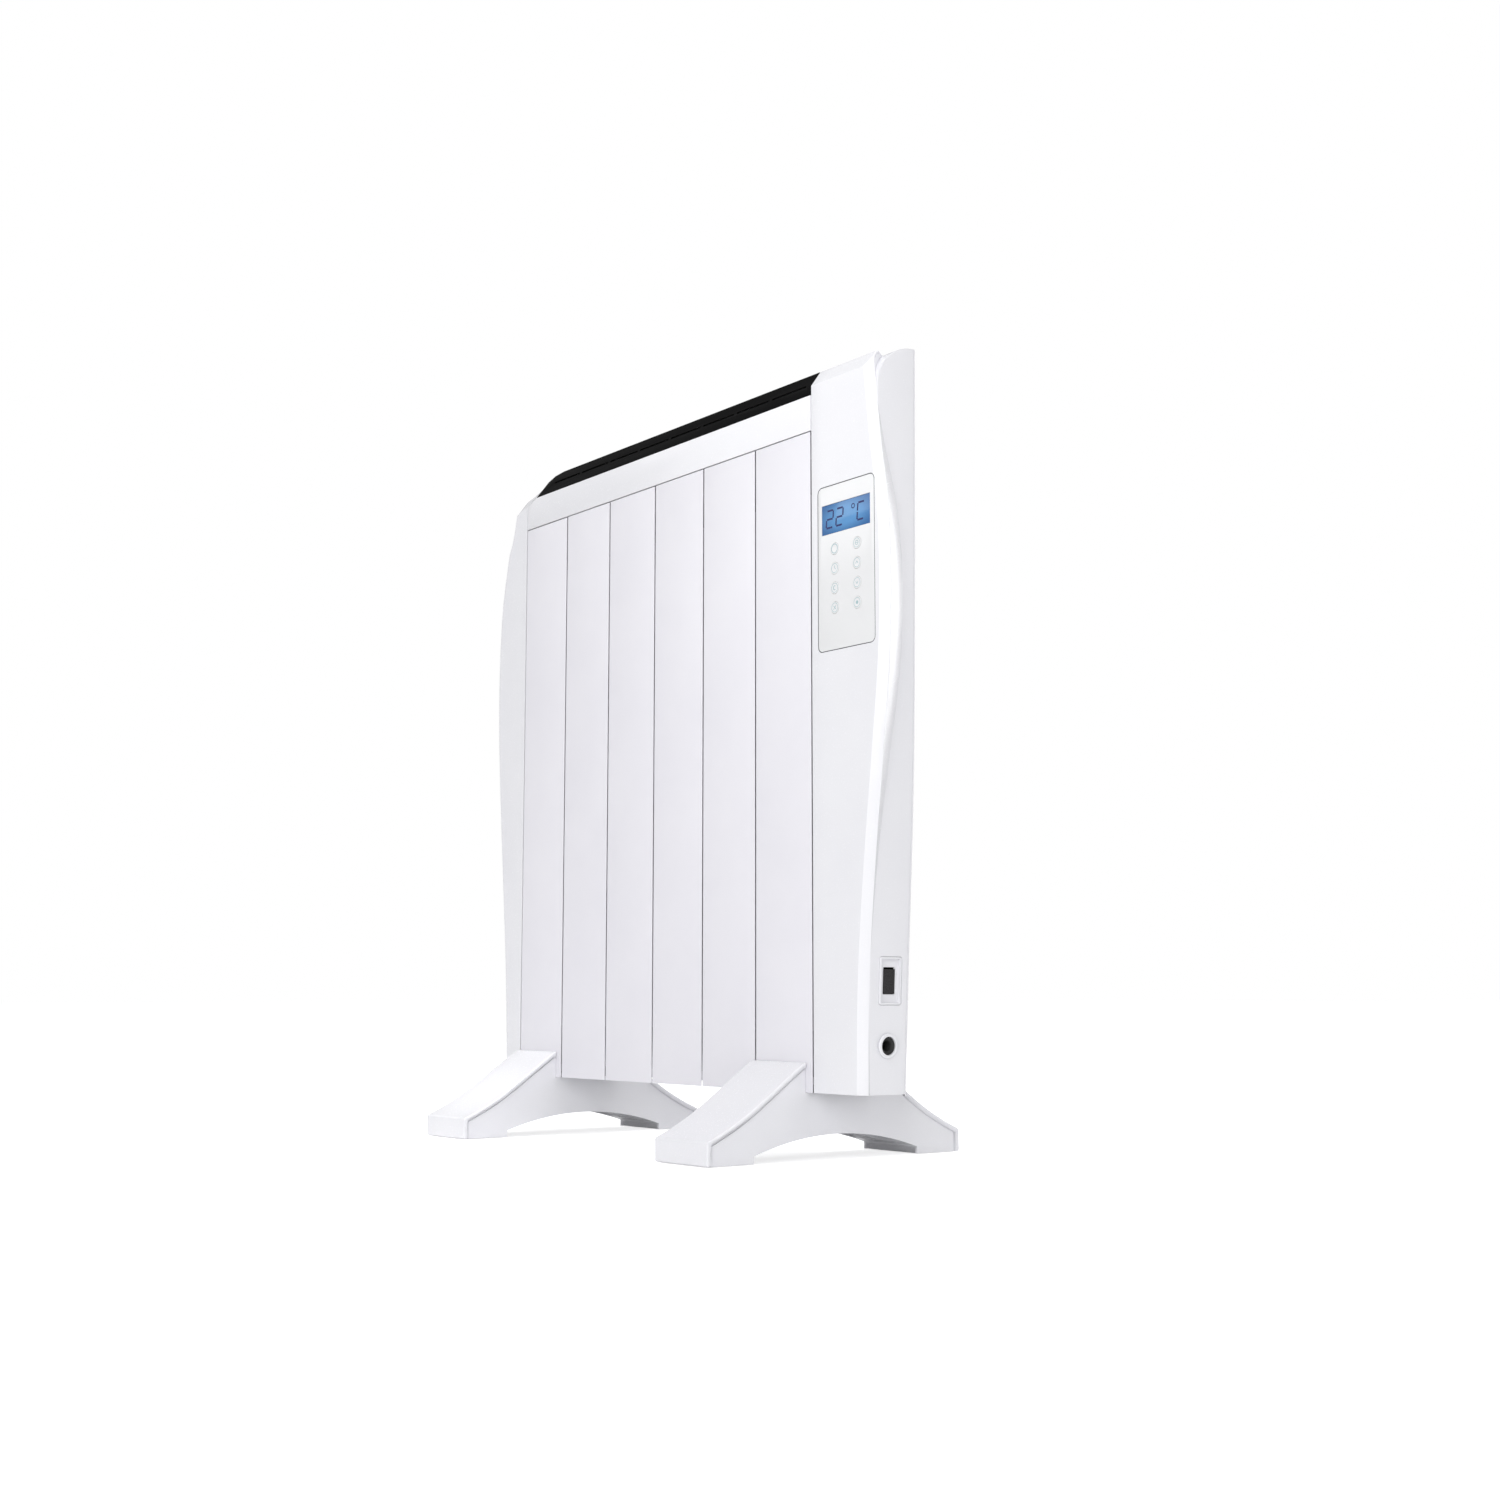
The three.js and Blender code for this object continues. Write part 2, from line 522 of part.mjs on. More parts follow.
const grille = () => {
  const low = railTop + GAP;
  const chamferRun = CREST_DEPTH * (crestTop - low) / (crestTop - railTop);
  const outer = shapeOf([[GRILLE_SET_IN, low], [chamferRun, crestTop],
    [SECTION_DEPTH - chamferRun, crestTop], [SECTION_DEPTH - GRILLE_SET_IN, low]]);
  const t = CAP_THICKNESS;
  const innerRun = chamferRun + 0.7 * t;
  const inner = shapeOf([[GRILLE_SET_IN + t, low - 1], [innerRun, crestTop - t],
    [SECTION_DEPTH - innerRun, crestTop - t], [SECTION_DEPTH - GRILLE_SET_IN - t, low - 1]]);
  const left = shoulderEdge(low) + GAP;
  const under = low - 5;
  const over = crestTop + 5;
  const endShape = (inset) => shapeOf([[shoulderEdge(under) + GAP + inset, under], [railRight - inset, under],
    [railRight - inset, over], [shoulderEdge(over) + GAP + inset, over]]);
  const ends = throughDepth(endShape(0), -MARGIN, 2 * MARGIN);
  const cap = alongWidth(outer, left - 1, railRight).intersect(ends).intersect(crownSolid);
  const hollow = alongWidth(inner, left - 1, railRight)
    .intersect(throughDepth(endShape(t), -MARGIN, 2 * MARGIN))
    .intersect(crownSolid.translate([0, 0, -t]));
  const slots = [];
  const first = left + BAYS_LEFT;
  const bay = (railRight - BAYS_RIGHT - first) / SLAT_BAYS;
  const flat = SECTION_DEPTH - 2 * chamferRun;
  const rows = Math.floor((flat - SLOT_WIDTH) / SLOT_PITCH);
  const rowStart = midDepth - (rows - 1) * SLOT_PITCH / 2;
  for (let index = 0; index < SLAT_BAYS; index += 1) {
    const from = first + index * bay + BAY_RIB / 2;
    const to = first + (index + 1) * bay - BAY_RIB / 2;
    for (let row = 0; row < rows; row += 1) {
      const centre = rowStart + row * SLOT_PITCH;
      slots.push(block(from, to, centre - SLOT_WIDTH / 2, centre + SLOT_WIDTH / 2, crestTop - 2 * t, over));
    }
    const middle = (low + crestTop) / 2;
    const [slotLow, slotHigh] = [middle - FACE_SLOT / 2, middle + FACE_SLOT / 2];
    const reach = CREST_DEPTH + t;
    slots.push(block(from, to, -MARGIN, reach, slotLow, slotHigh));
    slots.push(block(from, to, SECTION_DEPTH - reach, SECTION_DEPTH + MARGIN, slotLow, slotHigh));
  }
  return without(cap.subtract(hollow), slots);
};
place('top_grille', grille(), BLACK_PLASTIC);

// ---------------------------------------------------------------- control housing
const rearWidth = smooth(RIGHT_REAR);
const flankX = (height) => rearWidth((height - BODY_BOTTOM) / (faceTop - BODY_BOTTOM));
const flankTilt = (height) => Math.atan((flankX(height + 15) - flankX(height - 15)) / 30);

// A fitting on the right flank is drawn round its own origin, +X outwards, then tilted into place.
const onFlank = (body, height, depth) => body
  .rotate([0, THREE.MathUtils.radToDeg(flankTilt(height)), 0])
  .translate([flankX(height), depth, height]);

const pocketFloor = FASCIA.thickness + GAP;
const fasciaOutline = (grow, radius) => roundedRectangle(FASCIA.left - grow, fasciaBottom - grow,
  FASCIA.width + 2 * grow, FASCIA.height + 2 * grow, radius);
const fasciaPocket = throughDepth(fasciaOutline(GAP, FASCIA.radius), -5, pocketFloor);
const fasciaWindow = throughDepth(fasciaOutline(-FASCIA_LEDGE, FASCIA.radius - 2), -5, 12);

const centred = (x0, x1, wide, tall) => block(x0, x1, -wide / 2, wide / 2, -tall / 2, tall / 2);
const bezelHole = onFlank(centred(-20, 20, SWITCH.bezelWide + 2 * GAP, SWITCH.bezelTall + 2 * GAP),
  switchHeight, SWITCH.depth);
const glandHole = onFlank(bar('x', -20, 20, 0, 0, GLAND.bore + GLAND.wall + GAP), glandHeight, GLAND.depth);

const housingFront = without(shell(frontBody, RIGHT_END), [fasciaPocket, fasciaWindow, bezelHole, glandHole]);
place('control_housing_front', housingFront.intersect(frontHalf), WHITE_PLASTIC);
place('control_housing_rear', shell(rearBody, RIGHT_END), WHITE_PLASTIC);

// A sheet of steel keeps the heat of the last section away from the electronics.
const shieldBack = SHIELD.x + SHIELD.thickness;
const shieldPlate = block(SHIELD.x, shieldBack, WALL + 1, SECTION_DEPTH - WALL - 1,
  BODY_BOTTOM + WALL + 2, railTop - 4);
const shieldHoles = [lowHeader, highHeader].map((height) => bar('x', SHIELD.x - 5, shieldBack + 5, midDepth,
  height, HEADER_RADIUS + 1));
place('heat_shield', without(shieldPlate, shieldHoles), STEEL);

// ---------------------------------------------------------------- control panel
const lcdLeft = FASCIA.left + (FASCIA.width - LCD.width) / 2;
const lcdBottom = fasciaBottom + LCD.bottom;
const keyCentre = (column, row) => ({
  x: FASCIA.left + FASCIA.width / 2 + (column - 0.5) * KEY_COLUMN_PITCH,
  z: fasciaBottom + KEY_TOP_ROW - row * KEY_ROW_PITCH,
});
const keyHoles = [];
const keys = [];
for (let row = 0; row < KEY_ROWS; row += 1) {
  for (const column of [0, 1]) {
    const { x, z } = keyCentre(column, row);
    keyHoles.push(bar('y', -5, 5, x, z, KEY_RADIUS + KEY_CLEARANCE, KEY_SIDES));
    const stem = bar('y', -KEY_PROUD, FASCIA.thickness + 1, x, z, KEY_RADIUS, KEY_SIDES);
    const flange = bar('y', FASCIA.thickness + KEY_FLANGE.front, FASCIA.thickness + KEY_FLANGE.back, x, z,
      KEY_RADIUS + KEY_FLANGE.reach, KEY_SIDES);
    keys.push(stem.add(flange));
  }
}
const lcdHole = block(lcdLeft, lcdLeft + LCD.width, -5, 5, lcdBottom, lcdBottom + LCD.height);
const fascia = throughDepth(fasciaOutline(0, FASCIA.radius), 0, FASCIA.thickness);
place('control_fascia', without(fascia, [lcdHole, ...keyHoles]), PANEL_WHITE);
place('lcd_window', block(lcdLeft + GAP, lcdLeft + LCD.width - GAP, LCD.setIn, LCD.setIn + LCD.thickness,
  lcdBottom + GAP, lcdBottom + LCD.height - GAP), LCD_BLUE);
keys.forEach((key, index) => place(`key_${index + 1}`, key, PANEL_WHITE));

const matFront = FASCIA.thickness + KEY_FLANGE.back + KEY_TRAVEL + GAP;
const innerLeft = FASCIA.left + FASCIA_LEDGE + 1;
const innerRight = FASCIA.left + FASCIA.width - FASCIA_LEDGE - 1;
const matTop = lcdBottom - 3;
place('key_mat', block(innerLeft, innerRight, matFront, matFront + 1, fasciaBottom + 12, matTop), SILICONE);
const boardFront = matFront + 1 + GAP;
place('lcd_module', block(innerLeft, innerRight, FASCIA.thickness + GAP, boardFront - GAP,
  lcdBottom - 1, lcdBottom + LCD.height + 1), BLACK_PLASTIC);
place('control_board', block(innerLeft - 3, innerRight, boardFront, boardFront + BOARD_THICKNESS,
  fasciaBottom + BOARD_MARGIN, fasciaBottom + FASCIA.height - BOARD_MARGIN), BOARD_GREEN);

// ---------------------------------------------------------------- power electronics
const powerBottom = BODY_BOTTOM + POWER_BOARD.rise;
const powerPlate = block(POWER_BOARD.x, POWER_BOARD.x + POWER_BOARD.width, POWER_BOARD.y,
  POWER_BOARD.y + BOARD_THICKNESS, powerBottom, powerBottom + POWER_BOARD.height);
const component = ({ x, width, z, height, tall }) => {
  const left = POWER_BOARD.x + x;
  const low = powerBottom + z;
  const back = POWER_BOARD.y + BOARD_THICKNESS / 2;
  return block(left, left + width, POWER_BOARD.y - tall, back, low, low + height);
};
place('power_board', joined([powerPlate, component(RELAY), component(TRANSFORMER)]), BOARD_GREEN);
const terminalBottom = BODY_BOTTOM + TERMINALS.rise;
place('terminal_block', block(TERMINALS.x, TERMINALS.x + TERMINALS.width, TERMINALS.y,
  TERMINALS.y + TERMINALS.depth, terminalBottom, terminalBottom + TERMINALS.height), CERAMIC);
place('thermal_cutout', bar('x', shieldBack + GAP, shieldBack + CUTOUT.length, midDepth,
  highHeader - CUTOUT.drop, CUTOUT.radius), CERAMIC);
place('room_sensor', bar('x', SENSOR.from, SENSOR.to, SENSOR.depth, BODY_BOTTOM + WALL + SENSOR.rise,
  SENSOR.radius, 12), RUBBER_BLACK);

// ---------------------------------------------------------------- mains switch and cable gland
const rockerHole = { wide: ROCKER.wide + 2 * ROCKER.clearance, tall: ROCKER.tall + 2 * ROCKER.clearance };
const bezel = without(centred(-SWITCH.recess - SWITCH.floor, 0, SWITCH.bezelWide, SWITCH.bezelTall), [
  centred(-SWITCH.recess, 5, SWITCH.bezelWide - 2 * SWITCH.floor, SWITCH.bezelTall - 2 * SWITCH.floor),
  centred(-MARGIN, 5, rockerHole.wide, rockerHole.tall),
]);
place('switch_bezel', onFlank(bezel, switchHeight, SWITCH.depth), WHITE_PLASTIC);

// The rocker turns on two trunnions held by the switch body; at rest its upper half stands proud.
const pivotDepth = -SWITCH.recess - TRUNNION.depth;
const bodyFront = -SWITCH.recess - SWITCH.floor - GAP;
const switchBody = without(centred(-SWITCH.recess - SWITCH_BODY.length, bodyFront,
  rockerHole.wide + 2 * SWITCH_BODY.wall, rockerHole.tall + 2 * SWITCH_BODY.wall), [
  centred(-SWITCH.recess - SWITCH_BODY.well, 5, rockerHole.wide, rockerHole.tall),
  bar('y', -MARGIN, MARGIN, pivotDepth, 0, TRUNNION.radius + TRUNNION.clearance, TRUNNION.sides),
]);
place('switch_body', onFlank(switchBody, switchHeight, SWITCH.depth), BLACK_PLASTIC);

const rockerTilt = Math.tan(THREE.MathUtils.degToRad(ROCKER.tilt));
const rocker = () => {
  const half = ROCKER.tall / 2 - 0.6;
  const face = -SWITCH.recess + 1.2;
  const tip = face + half * rockerTilt;
  const belly = pivotDepth - ROCKER.belly;
  const shape = shapeOf([[belly, -half * ROCKER.taper], [face - ROCKER.edge, -half], [tip, -half], [face, 0],
    [tip, half], [face - ROCKER.edge, half], [belly, half * ROCKER.taper]]);
  const body = throughDepth(shape, -ROCKER.wide / 2, ROCKER.wide / 2);
  const reach = rockerHole.wide / 2 + TRUNNION.length;
  return body.add(bar('y', -reach, reach, pivotDepth, 0, TRUNNION.radius, TRUNNION.sides));
};
const tipped = (body) => body.translate([-pivotDepth, 0, 0]).rotate([0, ROCKER.tilt, 0])
  .translate([pivotDepth, 0, 0]);
place('switch_rocker', onFlank(tipped(rocker()), switchHeight, SWITCH.depth), BLACK_PLASTIC);

const gland = joined([
  bar('x', -12, 1.4, 0, 0, GLAND.bore + GLAND.wall, GLAND.sides),
  bar('x', GAP, 1.8, 0, 0, GLAND.outer, GLAND.sides),
]).subtract(bar('x', -30, 5, 0, 0, GLAND.bore, GLAND.sides));
const cordHole = bar('x', -30, 5, 0, 0, GLAND.cordHole);
const grommet = bar('x', -10, 0.6, 0, 0, GLAND.bore - GAP, GLAND.sides).subtract(cordHole);
place('cable_gland', onFlank(gland, glandHeight, GLAND.depth), WHITE_PLASTIC);
place('gland_grommet', onFlank(grommet, glandHeight, GLAND.depth), RUBBER_BLACK);

// Inside, a saddle clamp would grip the cord behind the gland.
const clamp = centred(CLAMP.far, CLAMP.near, CLAMP.wide, CLAMP.tall).subtract(cordHole);
place('cord_clamp', onFlank(clamp, glandHeight, GLAND.depth), BLACK_PLASTIC);

// ---------------------------------------------------------------- feet
// One foot is a ribbed shell: flat pads at both ends, an arch between them, slopes that rise to
// the body and a saddle that clasps the sections' lower edge.
const footProfile = () => {
  const half = FOOT.length / 2;
  const faceY = midDepth + GAP;
  const top = BODY_BOTTOM + FOOT.wrap;
  const floor = RUBBER.proud;
  const [nearRun, nearRise, farRun, farRise, endRun, endDrop] = FOOT.lean;
  const shape = new THREE.Shape();
  shape.moveTo(-half, floor);
  shape.lineTo(-half + FOOT.pad, floor);
  shape.lineTo(-half + FOOT.pad, FOOT.padStep);
  shape.quadraticCurveTo(0, 2 * FOOT.archRise - FOOT.padStep, half - FOOT.pad, FOOT.padStep);
  shape.lineTo(half - FOOT.pad, floor);
  shape.lineTo(half, floor);
  shape.lineTo(half, FOOT.tip);
  shape.bezierCurveTo(half - nearRun, FOOT.tip + nearRise, faceY + farRun, FOOT.tip + farRise,
    faceY + endRun, top - endDrop);
  shape.lineTo(faceY, top);
  shape.lineTo(faceY, BODY_BOTTOM - GAP);
  shape.lineTo(-faceY, BODY_BOTTOM - GAP);
  shape.lineTo(-faceY, top);
  shape.lineTo(-faceY - endRun, top - endDrop);
  shape.bezierCurveTo(-faceY - farRun, FOOT.tip + farRise, -half + nearRun, FOOT.tip + nearRise,
    -half, FOOT.tip);
  return shape;
};

// Two screws per foot, set diagonally: one ahead of the middle and one behind it.
const screwPlaces = (centre) => [-1, 1].map((side) => [centre + side * FOOT_SCREW.across, midDepth
  + side * FOOT_SCREW.along]);
const screwHoles = (centre) => screwPlaces(centre).map(([x, y]) => bar('z', 0, BODY_BOTTOM + 20, x, y,
  FOOT_SCREW.radius + GAP, 16));

const foot = (centre) => {
  const left = centre - FOOT.width / 2;
  const right = centre + FOOT.width / 2;
  const outer = alongWidth(footProfile(), left, right, 7).translate([0, midDepth, 0]);
  const pockets = [];
  const pitch = (FOOT.width - FOOT.wall) / FOOT.columns;
  for (let column = 0; column < FOOT.columns; column += 1) {
    const from = left + FOOT.wall + column * pitch;
    for (const [y0, y1] of FOOT.cells) {
      const outside = Math.abs(y0 + y1) / 2 > midDepth;
      const ceiling = outside ? FOOT.outerCeiling : BODY_BOTTOM - FOOT.web;
      pockets.push(block(from, from + pitch - FOOT.wall, midDepth + y0, midDepth + y1, FOOT.floor, ceiling));
    }
  }
  const rubberSeats = [-1, 1].map((end) => {
    const middle = midDepth + end * (FOOT.length - FOOT.pad) / 2;
    return block(centre - RUBBER.width / 2 - GAP, centre + RUBBER.width / 2 + GAP,
      middle - RUBBER.length / 2 - GAP, middle + RUBBER.length / 2 + GAP, -1, RUBBER.thickness + GAP);
  });
  return without(outer, [...pockets, ...rubberSeats, ...screwHoles(centre)]);
};

const rubberPad = (centre, end) => {
  const middle = midDepth + end * (FOOT.length - FOOT.pad) / 2;
  return block(centre - RUBBER.width / 2, centre + RUBBER.width / 2,
    middle - RUBBER.length / 2, middle + RUBBER.length / 2, 0, RUBBER.thickness);
};

// The screws go up through the saddle into a steel bracket that is welded between the plates.
const bracketTop = BODY_BOTTOM + GAP + BRACKET.thickness;
const bracket = (centre) => {
  const low = BODY_BOTTOM + GAP;
  const front = PLATE_THICKNESS + GAP;
  const rear = SECTION_DEPTH - PLATE_THICKNESS - GAP;
  const profile = shapeOf([[front, low], [rear, low], [rear, low + BRACKET.flange],
    [rear - BRACKET.thickness, low + BRACKET.flange], [rear - BRACKET.thickness, bracketTop],
    [front + BRACKET.thickness, bracketTop], [front + BRACKET.thickness, low + BRACKET.flange],
    [front, low + BRACKET.flange]]);
  const channel = alongWidth(profile, centre - BRACKET.width / 2, centre + BRACKET.width / 2);
  return without(channel, screwHoles(centre));
};

const footScrew = ([x, y]) => {
  const seat = BODY_BOTTOM - FOOT.web - GAP;
  return bar('z', seat - FOOT_SCREW.headHeight, seat, x, y, FOOT_SCREW.head, 16)
    .add(bar('z', seat - 1, bracketTop + 3, x, y, FOOT_SCREW.radius, 12));
};

const rightFootCentre = -RIGHT_FOOT_INSET - FOOT.width / 2;
const footCentres = [['right', rightFootCentre], ['left', rightFootCentre - FOOT_SPACING]];
for (const [name, centre] of footCentres) {
  const [frontScrew, rearScrew] = screwPlaces(centre);
  place(`${name}_foot`, foot(centre), WHITE_PLASTIC);
  place(`${name}_foot_bracket`, bracket(centre), STEEL);
  place(`${name}_front_screw`, footScrew(frontScrew), STEEL);
  place(`${name}_rear_screw`, footScrew(rearScrew), STEEL);
  place(`${name}_front_pad`, rubberPad(centre, -1), RUBBER_BLACK);
  place(`${name}_rear_pad`, rubberPad(centre, 1), RUBBER_BLACK);
}

// ---------------------------------------------------------------- origin at the bottom centre
const widest = (stations) => {
  const width = smooth(stations);
  const widths = Array.from({ length: COVER_STEPS + 1 }, (_, step) => width(step / COVER_STEPS));
  return Math.max(...widths) + FACE_CHAMFER;
};
const rightLimit = widest(RIGHT_FACE);
const leftLimit = bodyLeft - widest(LEFT_FACE);
radiator.position.set(-(leftLimit + rightLimit) / 2, -midDepth, 0);

export default radiator;
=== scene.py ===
"""Looks of a slim oil-filled panel radiator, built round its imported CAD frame.

Helpers work in millimetres in the design's own frame: X = 0 is the right edge of the last section,
Y = 0 the front faces and Z = 0 the floor. `placed` turns such a point into the row frame in metres.
"""
import json
import math

import bmesh
import bpy
import numpy as np
from mathutils import Matrix, Vector


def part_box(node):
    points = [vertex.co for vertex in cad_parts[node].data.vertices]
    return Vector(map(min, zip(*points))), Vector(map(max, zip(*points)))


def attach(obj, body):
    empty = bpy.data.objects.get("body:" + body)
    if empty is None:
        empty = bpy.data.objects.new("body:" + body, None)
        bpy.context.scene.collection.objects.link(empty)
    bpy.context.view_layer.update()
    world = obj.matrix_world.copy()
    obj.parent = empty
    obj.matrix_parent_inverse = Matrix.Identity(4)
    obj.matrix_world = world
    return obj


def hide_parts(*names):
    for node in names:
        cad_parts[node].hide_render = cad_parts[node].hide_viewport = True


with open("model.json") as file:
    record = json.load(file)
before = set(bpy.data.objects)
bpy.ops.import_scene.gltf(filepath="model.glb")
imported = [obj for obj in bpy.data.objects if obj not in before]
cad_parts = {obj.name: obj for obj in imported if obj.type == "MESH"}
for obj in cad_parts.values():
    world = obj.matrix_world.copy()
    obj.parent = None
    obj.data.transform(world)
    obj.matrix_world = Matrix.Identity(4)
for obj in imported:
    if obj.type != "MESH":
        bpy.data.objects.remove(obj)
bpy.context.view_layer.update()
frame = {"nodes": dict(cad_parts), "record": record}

MM = 0.001

# ------------------ driving sizes, from the frame
SECTION_COUNT = 6
GROOVE = 1.2
GAP = 0.3


def low(node):
    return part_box(node)[0] / MM


def high(node):
    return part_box(node)[1] / MM


def extent(node):
    """A CAD node's box in the design's frame: x0, x1, y0, y1, z0, z1."""
    lo, hi = low(node), high(node)
    return lo.x - ORIGIN_X, hi.x - ORIGIN_X, lo.y - ORIGIN_Y, hi.y - ORIGIN_Y, lo.z, hi.z


PITCH = (low("section_2") - low("section_1")).x
ORIGIN_X = high(f"section_{SECTION_COUNT}").x + GROOVE / 2
ORIGIN_Y = low("section_1").y
BODY_BOTTOM = low("section_1").z
BODY_TOP = high("section_1").z
DEPTH = high("section_1").y - ORIGIN_Y
MID_DEPTH = DEPTH / 2
BODY_LEFT = -SECTION_COUNT * PITCH
RAIL_TOP = high("top_rail_front").z
CREST_TOP = high("top_grille").z
ROOF = high("control_housing_front").z
CREST_RISE = 15
CREST_DEPTH = 11
FACE_TOP = CREST_TOP - CREST_RISE
SHELL_DEPTH = high("control_housing_front").y - ORIGIN_Y


def placed(point):
    x, y, z = point
    return Vector(((x + ORIGIN_X) * MM, (y + ORIGIN_Y) * MM, z * MM))


# ------------------ camera, floor and light
CAMERA_PLACE = (1.53227, -1.11524, 0.14195)
CAMERA_AZIMUTH = 52.33
CAMERA_PITCH = 7.05
CAMERA_LENS = 47.26
FILL_LIGHT = 0.42
FLOOR_GLOW = {"others": 0.03, "camera": 0.66}
LIGHTS = {  # place, aim, size in metres, watts, spread in degrees
    "key_softbox": ((2.36, -2.84, 1.35), (0.2, 0, 0.35), (2.0, 2.4), 61, 180),
    "left_softbox": ((-1.6, -2.0, 1.9), (-0.3, 0, 0.2), (1.6, 1.6), 9, 180),
    "front_top_softbox": ((0.4, -1.4, 2.9), (0.1, 0, 0.3), (1.6, 1.2), 5, 180),
    "top_softbox": ((0.2, 0.2, 3.2), (0, 0, 0.3), (1.5, 1.5), 30, 180),
    "right_softbox": ((3.0, 0.7, 1.6), (0.2, 0, 0.4), (1.8, 1.8), 5, 180),
    "rear_softbox": ((-0.05, 3.3, 1.3), (0, 0, 0.35), (2.4, 2.0), 32, 180),
    "crest_spot": ((1.0, -0.6, 1.9), (0.27, -0.11, 0.69), (0.12, 0.12), 0.022, 14),
    "left_foot_spot": ((-0.25, -0.35, 1.5), (-0.225, -0.1, 0.04), (0.1, 0.1), 0.03, 9),
}


def look_along(azimuth, pitch):
    """Rotation of a camera that looks along +Y when both angles are zero."""
    turn = Matrix.Rotation(math.radians(azimuth), 4, "Z")
    tilt = Matrix.Rotation(math.radians(90 + pitch), 4, "X")
    return turn @ tilt


def add_camera():
    data = bpy.data.cameras.new("camera")
    data.lens = CAMERA_LENS
    data.sensor_width = 36
    data.clip_end = 200
    camera = bpy.data.objects.new("camera", data)
    camera.matrix_world = Matrix.Translation(CAMERA_PLACE) @ look_along(CAMERA_AZIMUTH, CAMERA_PITCH)
    bpy.context.scene.collection.objects.link(camera)
    bpy.context.scene.camera = camera


def add_area(name, place, target, size, power, spread):
    data = bpy.data.lights.new(name, "AREA")
    data.shape = "RECTANGLE"
    data.size, data.size_y = size
    data.energy = power
    data.spread = math.radians(spread)
    lamp = bpy.data.objects.new(name, data)
    away = Vector(place) - Vector(target)
    lamp.matrix_world = Matrix.Translation(place) @ away.to_track_quat("Z", "Y").to_matrix().to_4x4()
    bpy.context.scene.collection.objects.link(lamp)


def add_studio():
    for name, settings in LIGHTS.items():
        add_area(name, *settings)
    world = bpy.data.worlds.new("studio")
    world.use_nodes = True
    tree = world.node_tree
    seen = tree.nodes["Background"]
    seen.inputs["Strength"].default_value = 1.0
    seen.inputs["Color"].default_value = (1, 1, 1, 1)
    fill = tree.nodes.new("ShaderNodeBackground")
    fill.inputs["Strength"].default_value = FILL_LIGHT
    fill.inputs["Color"].default_value = (1, 1, 1, 1)
    choose = tree.nodes.new("ShaderNodeMixShader")
    rays = tree.nodes.new("ShaderNodeLightPath")
    tree.links.new(rays.outputs["Is Camera Ray"], choose.inputs["Fac"])
    tree.links.new(fill.outputs["Background"], choose.inputs[1])
    tree.links.new(seen.outputs["Background"], choose.inputs[2])
    tree.links.new(choose.outputs["Shader"], tree.nodes["World Output"].inputs["Surface"])
    bpy.context.scene.world = world
    view = bpy.context.scene.view_settings
    view.view_transform = "Standard"


# ------------------ procedural materials
def new_material(name):
    material = bpy.data.materials.new(name)
    material.use_nodes = True
    tree = material.node_tree
    return material, tree, tree.nodes["Principled BSDF"]


def noise(tree, scale, detail=2.0, roughness=0.5, stretch=None):
    """Object-space noise; scale is features per metre."""
    place = tree.nodes.new("ShaderNodeTexCoord")
    texture = tree.nodes.new("ShaderNodeTexNoise")
    texture.inputs["Scale"].default_value = scale
    texture.inputs["Detail"].default_value = detail
    texture.inputs["Roughness"].default_value = roughness
    source = place.outputs["Object"]
    if stretch:
        mapping = tree.nodes.new("ShaderNodeMapping")
        mapping.inputs["Scale"].default_value = stretch
        tree.links.new(source, mapping.inputs["Vector"])
        source = mapping.outputs["Vector"]
    tree.links.new(source, texture.inputs["Vector"])
    return texture.outputs["Fac"]


def spread(tree, value, bottom, top):
    """Maps a 0..1 value to a range, with the middle of the noise spread wider."""
    ramp = tree.nodes.new("ShaderNodeMapRange")
    ramp.inputs["From Min"].default_value = 0.3
    ramp.inputs["From Max"].default_value = 0.7
    ramp.inputs["To Min"].default_value = bottom
    ramp.inputs["To Max"].default_value = top
    tree.links.new(value, ramp.inputs["Value"])
    return ramp.outputs["Result"]


def blend_colours(tree, factor, first, second):
    mix = tree.nodes.new("ShaderNodeMix")
    mix.data_type = "RGBA"
    mix.inputs["A"].default_value = (*first, 1)
    mix.inputs["B"].default_value = (*second, 1)
    tree.links.new(factor, mix.inputs["Factor"])
    return mix.outputs["Result"]


def bump(tree, shader, height, strength, distance):
    node = tree.nodes.new("ShaderNodeBump")
    node.inputs["Strength"].default_value = strength
    node.inputs["Distance"].default_value = distance
    tree.links.new(height, node.inputs["Height"])
    tree.links.new(node.outputs["Normal"], shader.inputs["Normal"])


def surface(name, light, dark, rough, grain, depth, metallic=0.0, coat=0.0, stretch=None, mottle=14,
            specular=0.5):
    """A finish with slow colour and gloss drift, and fine grain as bump."""
    material, tree, shader = new_material(name)
    drift = noise(tree, mottle, 3)
    fine = noise(tree, grain, 2, 0.55, stretch)
    colour = blend_colours(tree, spread(tree, drift, 0, 1), light, dark)
    tree.links.new(colour, shader.inputs["Base Color"])
    tree.links.new(spread(tree, fine, rough[0], rough[1]), shader.inputs["Roughness"])
    shader.inputs["Metallic"].default_value = metallic
    shader.inputs["Specular IOR Level"].default_value = specular
    if coat:
        shader.inputs["Coat Weight"].default_value = coat
        shader.inputs["Coat Roughness"].default_value = 0.08
    bump(tree, shader, fine, 0.35, depth)
    return material


def vector_math(tree, operation, source, value=None):
    node = tree.nodes.new("ShaderNodeVectorMath")
    node.operation = operation
    tree.links.new(source, node.inputs[0])
    if value is not None:
        node.inputs[1].default_value = value
    return node.outputs


